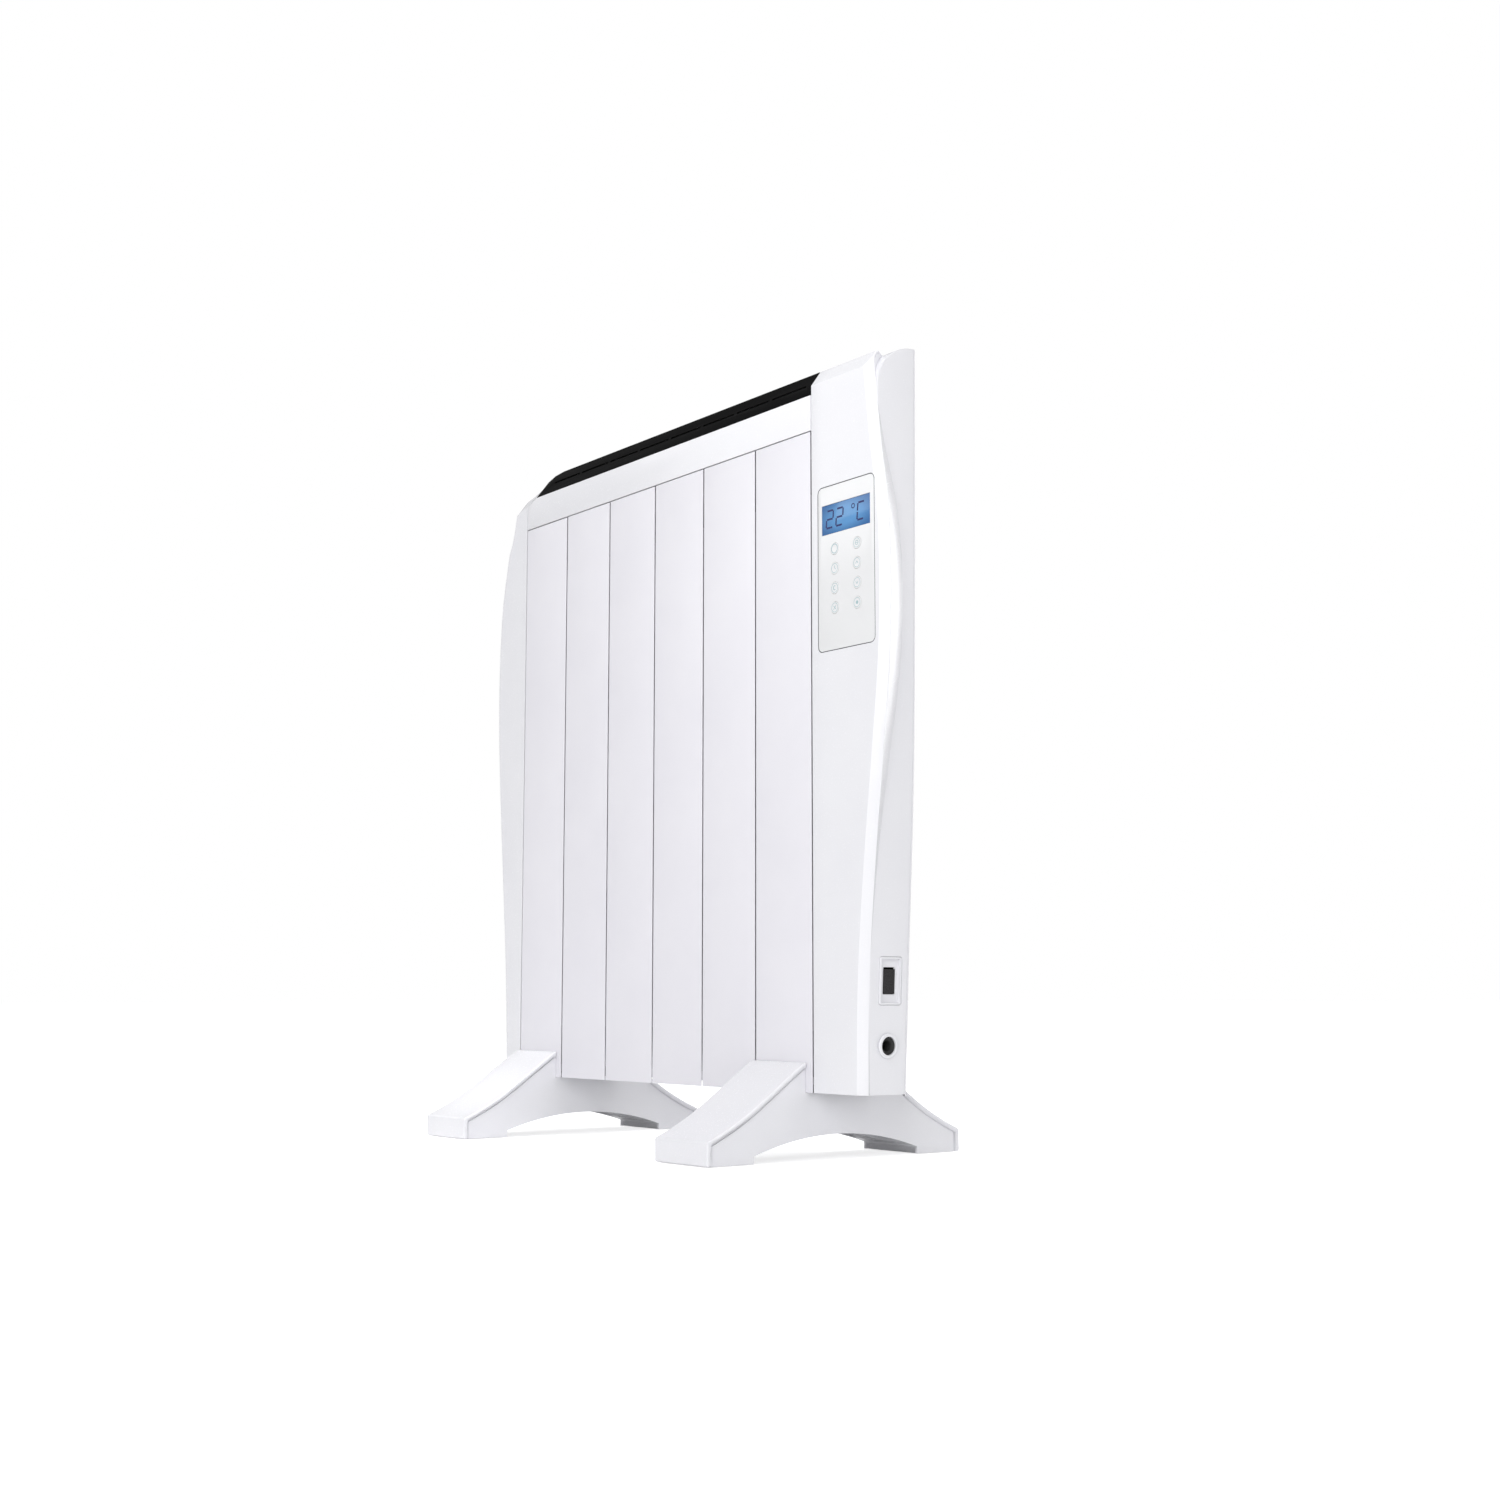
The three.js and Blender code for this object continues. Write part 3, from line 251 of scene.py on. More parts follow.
def lcd_material():
    """Blue backlit glass: brightest in the middle of the window, deeper towards its edges."""
    material, tree, shader = new_material("lcd_glass")
    lo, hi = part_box("lcd_window")
    place = tree.nodes.new("ShaderNodeTexCoord")
    size = hi - lo
    centred = vector_math(tree, "SUBTRACT", place.outputs["Object"], (lo + hi) / 2)["Vector"]
    scaled = vector_math(tree, "MULTIPLY", centred, (2 / size.x, 0, 2 / size.z))["Vector"]
    reach = vector_math(tree, "LENGTH", scaled)["Value"]
    ramp = tree.nodes.new("ShaderNodeMapRange")
    ramp.interpolation_type = "SMOOTHSTEP"
    ramp.inputs["From Min"].default_value = 0.45
    ramp.inputs["From Max"].default_value = 1.35
    tree.links.new(reach, ramp.inputs["Value"])
    colour = blend_colours(tree, ramp.outputs["Result"], (0.085, 0.25, 0.50), (0.035, 0.12, 0.30))
    tree.links.new(colour, shader.inputs["Base Color"])
    tree.links.new(colour, shader.inputs["Emission Color"])
    shader.inputs["Emission Strength"].default_value = 0.22
    tree.links.new(spread(tree, noise(tree, 900), 0.06, 0.12), shader.inputs["Roughness"])
    shader.inputs["Coat Weight"].default_value = 0.3
    shader.inputs["Coat Roughness"].default_value = 0.2
    return material


LOOKS = {
    "white_paint": surface("powder_coat", (0.84, 0.83, 0.875), (0.815, 0.805, 0.855), (0.34, 0.46), 1500,
                           0.00006),
    "white_plastic": surface("white_moulding", (0.86, 0.86, 0.89), (0.84, 0.84, 0.875), (0.2, 0.28), 900,
                             0.00003, coat=0.25),
    "black_plastic": surface("black_moulding", (0.002, 0.002, 0.0022), (0.004, 0.004, 0.0042), (0.42, 0.6),
                             2600, 0.00012, specular=0.04),
    "panel_white": surface("panel_film", (0.835, 0.84, 0.85), (0.82, 0.825, 0.835), (0.1, 0.16), 1100,
                           0.00002, coat=0.5),
    "lcd_blue": lcd_material(),
    "silicone": surface("silicone", (0.40, 0.06, 0.04), (0.33, 0.05, 0.035), (0.55, 0.7), 900, 0.00006),
    "circuit_board": surface("solder_mask", (0.02, 0.16, 0.06), (0.015, 0.11, 0.045), (0.3, 0.45), 700,
                             0.00008, stretch=(1, 1, 3), mottle=260),
    "bare_aluminium": surface("bare_aluminium", (0.62, 0.63, 0.65), (0.52, 0.53, 0.55), (0.32, 0.5), 500,
                              0.00008, metallic=1, stretch=(0.06, 1, 1)),
    "steel": surface("zinc_plate", (0.56, 0.56, 0.57), (0.42, 0.42, 0.44), (0.25, 0.45), 420, 0.00006,
                     metallic=1, mottle=90),
    "brass": surface("brass", (0.62, 0.44, 0.17), (0.5, 0.34, 0.12), (0.25, 0.42), 700, 0.00005, metallic=1,
                     mottle=60),
    "black_rubber": surface("black_rubber", (0.018, 0.018, 0.018), (0.03, 0.03, 0.03), (0.7, 0.85), 1500,
                            0.00018),
    "ceramic": surface("steatite", (0.72, 0.67, 0.57), (0.64, 0.59, 0.5), (0.5, 0.65), 1300, 0.0001),
}
ROCKER_GLOSS = surface("rocker_gloss", (0.018, 0.0165, 0.018), (0.026, 0.024, 0.026), (0.24, 0.34), 1800,
                       0.00004, specular=0.35)
ICON_INK = surface("key_ink", (0.36, 0.52, 0.55), (0.31, 0.46, 0.50), (0.3, 0.4), 1400, 0.00001)
# Painted shade for the gap round the control panel.
GAP_SHADE_PAINT = surface("painted_gap_shade", (0.045, 0.047, 0.055), (0.06, 0.062, 0.07), (0.35, 0.45), 1400, 0.00001)
DISPLAY_INK = surface("display_ink", (0.006, 0.014, 0.11), (0.008, 0.018, 0.13), (0.2, 0.3), 1400, 0.00001)


# ------------------ mesh helpers
def mesh_object(name, verts, faces):
    mesh = bpy.data.meshes.new(name)
    mesh.from_pydata([placed(v) for v in verts], [], faces)
    mesh.validate()
    made = bpy.data.objects.new(name, mesh)
    bpy.context.scene.collection.objects.link(made)
    return made


def settle(made, sharp=32):
    """Applies the modifiers and shades smooth up to the given angle."""
    bpy.context.view_layer.update()
    final = bpy.data.meshes.new_from_object(made.evaluated_get(bpy.context.evaluated_depsgraph_get()))
    made.modifiers.clear()
    old = made.data
    made.data = final
    bpy.data.meshes.remove(old)
    final.polygons.foreach_set("use_smooth", [True] * len(final.polygons))
    final.set_sharp_from_angle(angle=math.radians(sharp))
    return made


def reworked(made, change):
    """Runs a change on the mesh in edit form."""
    work = bmesh.new()
    work.from_mesh(made.data)
    change(work)
    work.to_mesh(made.data)
    work.free()
    return made


def tidy_flat(made, angle=0.5):
    """Joins coplanar triangles, so that a bevel meets clean faces."""
    def change(work):
        bmesh.ops.remove_doubles(work, verts=work.verts, dist=2e-6)
        bmesh.ops.dissolve_limit(work, angle_limit=math.radians(angle), verts=work.verts, edges=work.edges)
    return reworked(made, change)


def bevel(made, width, segments=3, angle=30):
    modifier = made.modifiers.new("bevel", "BEVEL")
    modifier.width = width * MM
    modifier.segments = segments
    modifier.limit_method = "ANGLE"
    modifier.angle_limit = math.radians(angle)


def rounded(made, width, segments=3, angle=30, sharp=32):
    bevel(made, width, segments, angle)
    return settle(made, sharp)


def weighted(made):
    modifier = made.modifiers.new("normals", "WEIGHTED_NORMAL")
    modifier.keep_sharp = True


def combine(made, other, operation):
    """Boolean with another object, which is then removed."""
    modifier = made.modifiers.new("combine", "BOOLEAN")
    modifier.operation = operation
    modifier.solver = "MANIFOLD"
    modifier.object = other
    settle(made)
    bpy.data.objects.remove(other)


def cut(made, *others):
    for other in others:
        combine(made, other, "DIFFERENCE")


def weld_on(made, *others):
    for other in others:
        combine(made, other, "UNION")


def show(made, slot, node, body="radiator", look=None, replaces=True):
    """Gives a piece its finish and its body, and lets it stand for its CAD node."""
    made.data.materials.clear()
    made.data.materials.append(look or LOOKS[slot])
    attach(made, body)
    if replaces:
        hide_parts(node)
    return made


def prism(name, outline, axis, start, end):
    """A closed outline pushed along an axis: 'x' takes (y, z), 'y' takes (x, z), 'z' takes (x, y)."""
    def at(a, b, along):
        return {"x": (along, a, b), "y": (a, along, b), "z": (a, b, along)}[axis]
    count = len(outline)
    verts = [at(a, b, start) for a, b in outline] + [at(a, b, end) for a, b in outline]
    faces = [tuple(range(count)), tuple(range(count, 2 * count))]
    faces += [(i, (i + 1) % count, count + (i + 1) % count, count + i) for i in range(count)]
    return face_out(mesh_object(name, verts, faces))


def face_out(made):
    return reworked(made, lambda work: bmesh.ops.recalc_face_normals(work, faces=work.faces))


def block(name, x0, x1, y0, y1, z0, z1):
    return prism(name, [(x0, y0), (x1, y0), (x1, y1), (x0, y1)], "z", z0, z1)


def arc(centre, radius, start, end, steps):
    angles = np.radians(np.linspace(start, end, steps + 1))
    return [(centre[0] + radius * math.cos(a), centre[1] + radius * math.sin(a)) for a in angles]


def rounded_rectangle(x0, x1, z0, z1, radius, steps=8):
    corners = [((x1 - radius, z1 - radius), 0), ((x0 + radius, z1 - radius), 90),
               ((x0 + radius, z0 + radius), 180), ((x1 - radius, z0 + radius), 270)]
    return [p for centre, turn in corners for p in arc(centre, radius, turn, turn + 90, steps)]


def lathe(name, profile, axis, centre, sides=64):
    """Turns a closed (radius, along) profile round an axis through `centre`, along 'x' or 'y'."""
    verts = []
    for turn in range(sides):
        angle = 2 * math.pi * turn / sides
        for radius, along in profile:
            a, b = radius * math.cos(angle), radius * math.sin(angle)
            local = (along, a, b) if axis == "x" else (a, along, b)
            verts.append(tuple(c + d for c, d in zip(centre, local)))
    count = len(profile)
    faces = []
    for turn in range(sides):
        near, far = turn * count, ((turn + 1) % sides) * count
        faces += [(near + i, near + (i + 1) % count, far + (i + 1) % count, far + i) for i in range(count)]

    def change(work):
        bmesh.ops.remove_doubles(work, verts=work.verts, dist=1e-7)
        bmesh.ops.dissolve_degenerate(work, edges=work.edges, dist=1e-8)
        bmesh.ops.recalc_face_normals(work, faces=work.faces)
    return reworked(mesh_object(name, verts, faces), change)


def filleted(corners, radii, steps=4):
    """An open polyline whose inner corners are rounded; every corner gives the same number of points."""
    points = [np.array(corners[0], float)]
    for index in range(1, len(corners) - 1):
        before, here, after = (np.array(corners[index + k], float) for k in (-1, 0, 1))
        reach_in, reach_out = np.linalg.norm(before - here), np.linalg.norm(after - here)
        into, out = (before - here) / max(reach_in, 1e-9), (after - here) / max(reach_out, 1e-9)
        cut_back = min(radii[index - 1], 0.45 * reach_in, 0.45 * reach_out)
        for step in range(steps + 1):
            t = step / steps
            start, end = here + into * cut_back, here + out * cut_back
            points.append((1 - t) ** 2 * start + 2 * t * (1 - t) * here + t * t * end)
    points.append(np.array(corners[-1], float))
    return points


def smooth(stations):
    """Cubic through the stations [place, value]."""
    places, values = (np.array(column, float) for column in zip(*stations))
    steps, slopes = np.diff(places), np.diff(values) / np.diff(places)
    inner = (steps[:-1] * slopes[1:] + steps[1:] * slopes[:-1]) / (steps[:-1] + steps[1:])
    tangents = np.concatenate([[slopes[0]], inner, [slopes[-1]]])

    def at(place):
        place = min(max(place, places[0]), places[-1])
        i = min(int(np.searchsorted(places, place, "right")) - 1, len(steps) - 1)
        t = (place - places[i]) / steps[i]
        return ((1 + 2 * t) * (1 - t) ** 2 * values[i] + t * (1 - t) ** 2 * steps[i] * tangents[i]
                + t * t * (3 - 2 * t) * values[i + 1] - t * t * (1 - t) * steps[i] * tangents[i + 1])
    return at


def refined(node, name, width, segments=3, sharp=32, angle=30):
    """A CAD shape with its edges rounded, for pieces that are made of flat faces."""
    source = frame["nodes"][node]
    made = bpy.data.objects.new(name, source.data.copy())
    made.data.name = name
    bpy.context.scene.collection.objects.link(made)
    tidy_flat(made)
    bevel(made, width, segments, angle)
    weighted(made)
    return settle(made, sharp)


# ------------------ aluminium sections
SHADOW_GAP = 0.9
OPEN_GROOVE = 1.9
LIP = 0.8
LIP_WIDTH = 4
LIP_ROUND = 0.7
PLATE_EDGE = 0.35
PLATE = 2.0
FIN = 2.0
FIN_OFFSET = 23
TUBE_RADIUS = 14
TUBE_BORE = 11.5
TUBE_SETBACK = 52


def section(index):
    """One extrusion: two cover plates with rounded long edges, three fins and the oil tube."""
    centre = BODY_LEFT + (index + 0.5) * PITCH
    half = (PITCH - OPEN_GROOVE) / 2
    node = f"section_{index + 1}"
    front = []
    for side, turn in ((-1, 180), (1, 270)):
        front += arc((centre + side * (half - LIP_ROUND), LIP_ROUND), LIP_ROUND, turn, turn + 90, 5)
    front += [(centre + half, LIP), (centre + half - LIP_WIDTH, PLATE), (centre - half + LIP_WIDTH, PLATE),
              (centre - half, LIP)]
    rear = [(x, DEPTH - y) for x, y in front]
    made, back = (rounded(prism(name, outline, "z", BODY_BOTTOM, BODY_TOP), PLATE_EDGE, 2, 60)
                  for name, outline in ((f"{node}_extrusion", front), ("back", rear)))
    fin_low, fin_high = BODY_BOTTOM + TUBE_SETBACK, BODY_TOP - TUBE_SETBACK
    fins = [block("fin", centre + offset - FIN / 2, centre + offset + FIN / 2, PLATE / 2, DEPTH - PLATE / 2,
                  fin_low, fin_high) for offset in (-FIN_OFFSET, 0, FIN_OFFSET)]
    ring = [(centre + x, MID_DEPTH + y) for x, y in arc((0, 0), TUBE_RADIUS, 0, 360, 48)[:-1]]
    bore = [(centre + x, MID_DEPTH + y) for x, y in arc((0, 0), TUBE_BORE, 0, 360, 48)[:-1]]
    weld_on(made, back, *fins, prism("tube", ring, "z", fin_low, fin_high))
    cut(made, prism("bore", bore, "z", fin_low - 1, fin_high + 1))
    show(made, "white_paint", node)


# ------------------ end covers
LENS_ANGLE = math.radians(30)
FACE_CHAMFER = 7
SIDE_TAPER = 2
SIDE_TAPER_END = 37
ROOF_RADIUS = 38
REAR_ROOF_RADIUS = 26
SKIN = 1.6
WALL = 2.2
RIGHT = {
    "side": 1, "base": 0, "lens": 15.5, "rear_draw": 26,
    "face": [(0, 56.6), (0.15, 59), (0.31, 67.6), (0.45, 78), (0.58, 87.3), (0.7, 90.3), (0.8, 87.6),
             (0.9, 78.6), (1, 71.4)],
    "rear": [(0, 63.6), (0.2, 69.8), (0.4, 77), (0.7, 81.8), (1, 84.4)],
}
LEFT = {
    "side": -1, "base": BODY_LEFT, "lens": 17, "rear_draw": 18,
    "face": [(0, 27), (0.15, 30.8), (0.31, 39.2), (0.45, 47.2), (0.58, 53.1), (0.65, 54.3), (0.73, 53.2),
             (0.81, 49.2), (0.89, 38.8), (1, 23)],
    "rear": [(0, 34), (0.2, 38.5), (0.4, 43), (0.7, 44), (1, 34)],
}


def share_of(height):
    return (height - BODY_BOTTOM) / (FACE_TOP - BODY_BOTTOM)


def bezier(p0, p1, p2, p3, steps=24):
    ts = np.linspace(0, 1, steps + 1)[:, None]
    p0, p1, p2, p3 = map(np.array, (p0, p1, p2, p3))
    return (1 - ts) ** 3 * p0 + 3 * ts * (1 - ts) ** 2 * p1 + 3 * ts ** 2 * (1 - ts) * p2 + ts ** 3 * p3


# How far the top edge lies below the crest, over the distance to the right of the body's left edge.
LEFT_CROWN = np.vstack([
    [(-120, 60)],
    bezier((-32, 32), (-24, 17), (-14, 18), (0, 15)),
    bezier((0, 15), (16, 10), (30, 0), (55, 0))[1:],
])


def crown_drop(x):
    return float(np.interp(x - BODY_LEFT, LEFT_CROWN[:, 0], LEFT_CROWN[:, 1]))


def step_up(value, width):
    t = min(max(value / width, 0), 1)
    return t * t * (3 - 2 * t)


def soft_max(a, b, softness):
    return 0.5 * (a + b + math.sqrt((a - b) ** 2 + softness ** 2)) - 0.18 * softness


def outline_columns(end, widths, y0, height):
    """One level's outline of the left front shell, from its inner edge round the face to its rear
    edge, as points [distance from the body, depth]."""
    face, rear = widths
    share = share_of(height)
    reach, side_width = face(share), rear(share)

    def lens(y):
        if y <= FACE_CHAMFER:
            return reach + y
        fall = math.tan(LENS_ANGLE) * (y - FACE_CHAMFER)
        return reach + FACE_CHAMFER - min(fall, end["lens"])

    def width_at(y):
        if y <= FACE_CHAMFER - 0.5:
            return lens(y)
        front = lens(y)
        behind = tapered(side_width, y)
        risen = step_up(y - FACE_CHAMFER + 0.5, 1.5)
        return front + risen * max(soft_max(front, behind, 1.6) - front, 0)

    first = width_at(y0)
    inner = [(GAP + (first - GAP) * t, y0) for t in np.linspace(0, 1, 12)[:-1]]
    if y0 < FACE_CHAMFER:
        near = filleted([(first - 3, y0), (first, y0), (reach + FACE_CHAMFER, FACE_CHAMFER),
                         (lens(FACE_CHAMFER + 4), FACE_CHAMFER + 4)], [1.5, 1.6], 5)[1:-1]
    else:
        step = min(0.05, (SHELL_DEPTH - y0) / 40)
        near = [(width_at(y0 + step * k), y0 + step * k) for k in range(12)]
    depth = near[-1][1]
    rest = [(width_at(y), y) for y in np.linspace(depth, SHELL_DEPTH, 40)[1:]]
    inner = [(min(x, near[0][0] - 0.02 * (12 - k)), y) for k, (x, y) in enumerate(inner)]
    return inner + [tuple(p) for p in near] + rest


def tapered(width, y):
    """Width of an end's flat side at a depth: it starts a little further in."""
    return width - SIDE_TAPER * (1 - min(max((y - FACE_CHAMFER) / (SIDE_TAPER_END - FACE_CHAMFER), 0), 1))


def front_rows():
    """Levels of the left front shell as (depth of its front edge, height): floor, face, chamfer, crest."""
    rear_stop = SHELL_DEPTH - 0.5
    corners = [(rear_stop, BODY_BOTTOM), (0, BODY_BOTTOM), (0, FACE_TOP), (CREST_DEPTH, CREST_TOP)]
    line = filleted(corners + [(rear_stop, CREST_TOP)], [1.4, 2.2, 2.2], 5)
    return resampled(line, [(BODY_BOTTOM + 3, 4), (ROOF - ROOF_RADIUS - 8, 8), (ROOF, 1.2)])


def resampled(line, limits):
    """Splits long steps of a line so that none is longer than its height's limit."""
    points = [line[0]]
    for here in line[1:]:
        before = points[-1]
        length = np.linalg.norm(here - before)
        while length > 1e-6:
            limit = next((step for height, step in limits if before[1] < height), limits[-1][1])
            if abs(here[1] - before[1]) < 0.01:
                limit = 3.0
            if length <= limit * 1.5:
                break
            before = before + (here - before) * limit / length
            points.append(before)
            length = np.linalg.norm(here - before)
        points.append(here)
    return points


def skin_object(name, end, rows, level_outline):
    """Builds the outer surface from its levels, then gives it the moulding's wall thickness."""
    verts, faces = [], []
    for y0, z in rows:
        for distance, y in level_outline(y0, z):
            x = end["base"] + end["side"] * distance
            height = z
            if end["side"] < 0:
                blend = step_up(z - (FACE_TOP - 70), 70)
                height = z - crown_drop(x) * blend
            verts.append((x, y, height))
    columns = len(verts) // len(rows)
    for row in range(len(rows) - 1):
        for column in range(columns - 1):
            a = row * columns + column
            faces.append((a, a + 1, a + columns + 1, a + columns))
    made = mesh_object(name, verts, faces)
    middle = end["base"] + end["side"] * 20
    aim_out(made, placed((middle, MID_DEPTH, (BODY_BOTTOM + BODY_TOP) / 2)))
    wall = made.modifiers.new("wall", "SOLIDIFY")
    wall.thickness = SKIN * MM
    wall.offset = -1
    return settle(made, 40)


def aim_out(made, inside):
    """Makes an open surface's normals point away from a point inside it."""
    face_out(made)
    outward = sum((face.center - inside).normalized().dot(face.normal) * face.area
                  for face in made.data.polygons)
    if outward < 0:
        made.data.flip_normals()


def left_front_shell(name):
    widths = smooth(LEFT["face"]), smooth(LEFT["rear"])
    return skin_object(name, LEFT, front_rows(), lambda y0, z: outline_columns(LEFT, widths, y0, z))


def loft(name, rings):
    """A closed solid through rings of points, all of one length, with a flat cap on the first and last."""
    count = len(rings[0])
    verts = [point for ring in rings for point in ring]
    faces = [tuple(range(count)), tuple(range(len(verts) - count, len(verts)))]
    for k in range(len(rings) - 1):
        for i in range(count):
            a, b = k * count + i, k * count + (i + 1) % count
            faces.append((a, b, b + count, a + count))
    return mesh_object(name, verts, faces)


def merged_loft(name, rings):
    """A loft whose points that meet are made one."""
    def change(work):
        bmesh.ops.remove_doubles(work, verts=work.verts, dist=2e-6)
        bmesh.ops.recalc_face_normals(work, faces=work.faces)
    return reworked(loft(name, rings), change)


BEYOND = 8
FACE_ROUND, SIDE_ROUND = 1.5, 2.0
HOUSING_SHARP = 25
REBATE = {"wide": 1.0, "deep": 0.9}


def face_and_flank(inset=0.0):
    """The right housing's face with its chamfers and the flank that slopes in behind them."""
    face = smooth(RIGHT["face"])
    low_edge, face_top, crest = BODY_BOTTOM + inset, FACE_TOP - 0.4 * inset, CREST_TOP - inset
    levels = [(inset, z) for z in np.linspace(low_edge, face_top, 122)]
    levels += [(inset + (CREST_DEPTH - inset) * t, face_top + (crest - face_top) * t)
               for t in (0.2, 0.4, (FACE_CHAMFER - inset) / (CREST_DEPTH - inset), 0.82, 1)]
    flank_end = FACE_CHAMFER + RIGHT["lens"] / math.tan(LENS_ANGLE)
    rings = []
    for y0, z in levels:
        reach = face(share_of(z)) - inset
        wide = reach + FACE_CHAMFER

        def edge(y):
            if y < FACE_CHAMFER:
                return reach + y - 0.4 * inset
            return wide - math.tan(LENS_ANGLE) * (y - FACE_CHAMFER)
        turn = max(y0, FACE_CHAMFER)
        narrow = wide - RIGHT["lens"]
        across = [REBATE["wide"] + (edge(y0) - REBATE["wide"]) * t for t in (0, 0.25, 0.5, 0.75, 0.93, 1)]
        flank = [(wide + (narrow - wide) * t, turn + (flank_end - turn) * t)
                 for t in (0.08, 0.35, 0.65, 0.93, 1)]
        rings.append([(-BEYOND, y0 + REBATE["deep"], z), (REBATE["wide"], y0 + REBATE["deep"], z)]
                     + [(x, y0, z) for x in across] + [(edge(turn), turn, z)] + [(x, y, z) for x, y in flank]
                     + [(narrow, SHELL_DEPTH + BEYOND, z), (-BEYOND, SHELL_DEPTH + BEYOND, z)])
    return merged_loft("face_and_flank", rings)


def flat_side(inset=0.0):
    """The right housing's flat side, whose front edge rounds back into the roof."""
    rear = smooth(RIGHT["rear"])
    shoulder_height = ROOF - ROOF_RADIUS - inset
    front = FACE_CHAMFER + inset
    run = SHELL_DEPTH - front
    levels = [(front, z) for z in np.linspace(BODY_BOTTOM + inset, shoulder_height, 118)]
    levels += [(SHELL_DEPTH - run * math.cos(a), shoulder_height + ROOF_RADIUS * math.sin(a))
               for a in np.linspace(0, math.pi / 2 - 0.01, 34)[1:]]
    rings = []
    for y0, z in levels:
        width = rear(share_of(z)) - inset
        end = SHELL_DEPTH + BEYOND
        stops = [y0 + (end - y0) * t for t in (0, 0.06, 0.2, 0.4, 0.6, 0.8, 1)]
        rings.append([(-BEYOND, y0, z)] + [(tapered(width, y), y, z) for y in stops] + [(-BEYOND, end, z)])
    return merged_loft("flat_side", rings)


def right_front_shell(name):
    made = rounded(face_and_flank(), FACE_ROUND, 5, 33, HOUSING_SHARP)
    made.name = made.data.name = name
    weld_on(made, rounded(flat_side(), SIDE_ROUND, 5, 33, HOUSING_SHARP))
    hollow = face_and_flank(WALL)
    weld_on(hollow, flat_side(WALL))
    cut(made, hollow)
    far = 200
    combine(made, block("bounds", GAP, far, -far, SHELL_DEPTH, 0, 5 * far), "INTERSECT")
    return made


def rear_shell(end, name):
    """The tray behind: its outer edge is drawn in towards a flat back, with a round roof."""
    rear = smooth(end["rear"])
    first = SHELL_DEPTH + GAP
    is_right = end["side"] > 0
    roof = ROOF - 0.05 if is_right else CREST_TOP
    rounding = REAR_ROOF_RADIUS if is_right else CREST_RISE
    run = DEPTH - first if is_right else CREST_DEPTH
    corners = [(first + 0.5, BODY_BOTTOM), (DEPTH, BODY_BOTTOM), (DEPTH, roof - rounding)]
    if is_right:
        line = filleted(corners, [1.4], 5)
        line += [np.array((first + run * math.cos(a), roof - rounding + rounding * math.sin(a)))
                 for a in np.linspace(0, math.pi / 2 - 0.05, 16)[1:]]
    else:
        line = filleted(corners + [(DEPTH - run, roof), (first + 0.5, roof)], [1.4, 3, 3], 5)
    rows = resampled(line, [(BODY_BOTTOM + 3, 4), (roof - rounding - 4, 8), (roof, 2.0)])

    def outline(y1, z):
        width = rear(share_of(z))

        def at(y):
            return width - end["rear_draw"] * max(0.0, y - SHELL_DEPTH - 2) / (DEPTH - SHELL_DEPTH - 2)
        line = filleted([(width, first), (width, min(SHELL_DEPTH + 2, y1 - 0.1)), (at(y1), y1), (GAP, y1)],
                        [3, 5], 6)
        start, finish = line[-2], line[-1]
        return [tuple(p) for p in line[:-1]] + [tuple(start + (finish - start) * t)
                                               for t in np.linspace(0, 1, 9)[1:]]
    return skin_object(name, end, rows, outline)


def shoulder(name, y_from, y_to):
    """The left cover's arm over the first section, up to the grille's slanted end."""
    start, reach, lean = -1.2, 17, 0.4
    bottom = RAIL_TOP + GAP
    columns = []
    for t in np.linspace(0, 1, 15):
        edge = start + (reach - start) * t
        ring = []
        top = CREST_TOP - crown_drop(BODY_LEFT + edge)
        front = max(0.0, CREST_DEPTH * (bottom - (top - CREST_RISE)) / CREST_RISE)
        for y, z in ((front, bottom), (front, max(bottom, top - CREST_RISE)), (CREST_DEPTH, top),
                     (DEPTH - CREST_DEPTH, top), (DEPTH - front, max(bottom, top - CREST_RISE)),
                     (DEPTH - front, bottom)):
            ring.append((BODY_LEFT + edge + lean * (z - RAIL_TOP) * t, y, z))
        columns.append(ring)
    made = face_out(loft(name, columns))
    far = 100
    keep = block("keep", BODY_LEFT - far, BODY_LEFT + far, y_from, y_to, bottom - far, CREST_TOP + far)
    combine(made, keep, "INTERSECT")
    return made


def left_cover():
    front = left_front_shell("left_cover_front_moulding")
    weld_on(front, shoulder("arm", 0, SHELL_DEPTH))
    show(settle(front, 40), "white_plastic", "left_cover_front")
    rear = rear_shell(LEFT, "left_cover_rear_moulding")
    weld_on(rear, shoulder("arm", SHELL_DEPTH + GAP, DEPTH))
    show(settle(rear, 40), "white_plastic", "left_cover_rear")


# ------------------ control housing and its panel
FASCIA_LEFT, FASCIA_RIGHT, _, _, FASCIA_LOW, FASCIA_HIGH = extent("control_fascia")
FASCIA_RADIUS = 5
FASCIA_THICKNESS = 1.2
RIM = 0.75


def on_flank(made, fitting):
    """Moves a piece that was drawn round the origin, +X outwards, to a fitting's place on the right flank."""
    height, depth = fitting["height"], fitting["depth"]
    rear = smooth(RIGHT["rear"])

    def out(z):
        return rear(share_of(z))
    tilt = math.atan((out(height + 15) - out(height - 15)) / 30)
    home = placed((0, 0, 0))
    goal = placed((out(height), depth, height))
    made.data.transform(Matrix.Translation(goal) @ Matrix.Rotation(tilt, 4, "Y") @ Matrix.Translation(-home))
    return made


ROCKER_PROUD = 1.0
SWITCH = {"height": 152.4, "depth": 28.8, "wide": 24, "tall": 40, "recess": 3}
GLAND = {"height": 98.5, "depth": 27, "outer": 10.5, "bore": 7.7, "cord_hole": 4.6}


def fascia_outline(grow, radius):
    return rounded_rectangle(FASCIA_LEFT - grow, FASCIA_RIGHT + grow, FASCIA_LOW - grow, FASCIA_HIGH + grow,
                             radius)


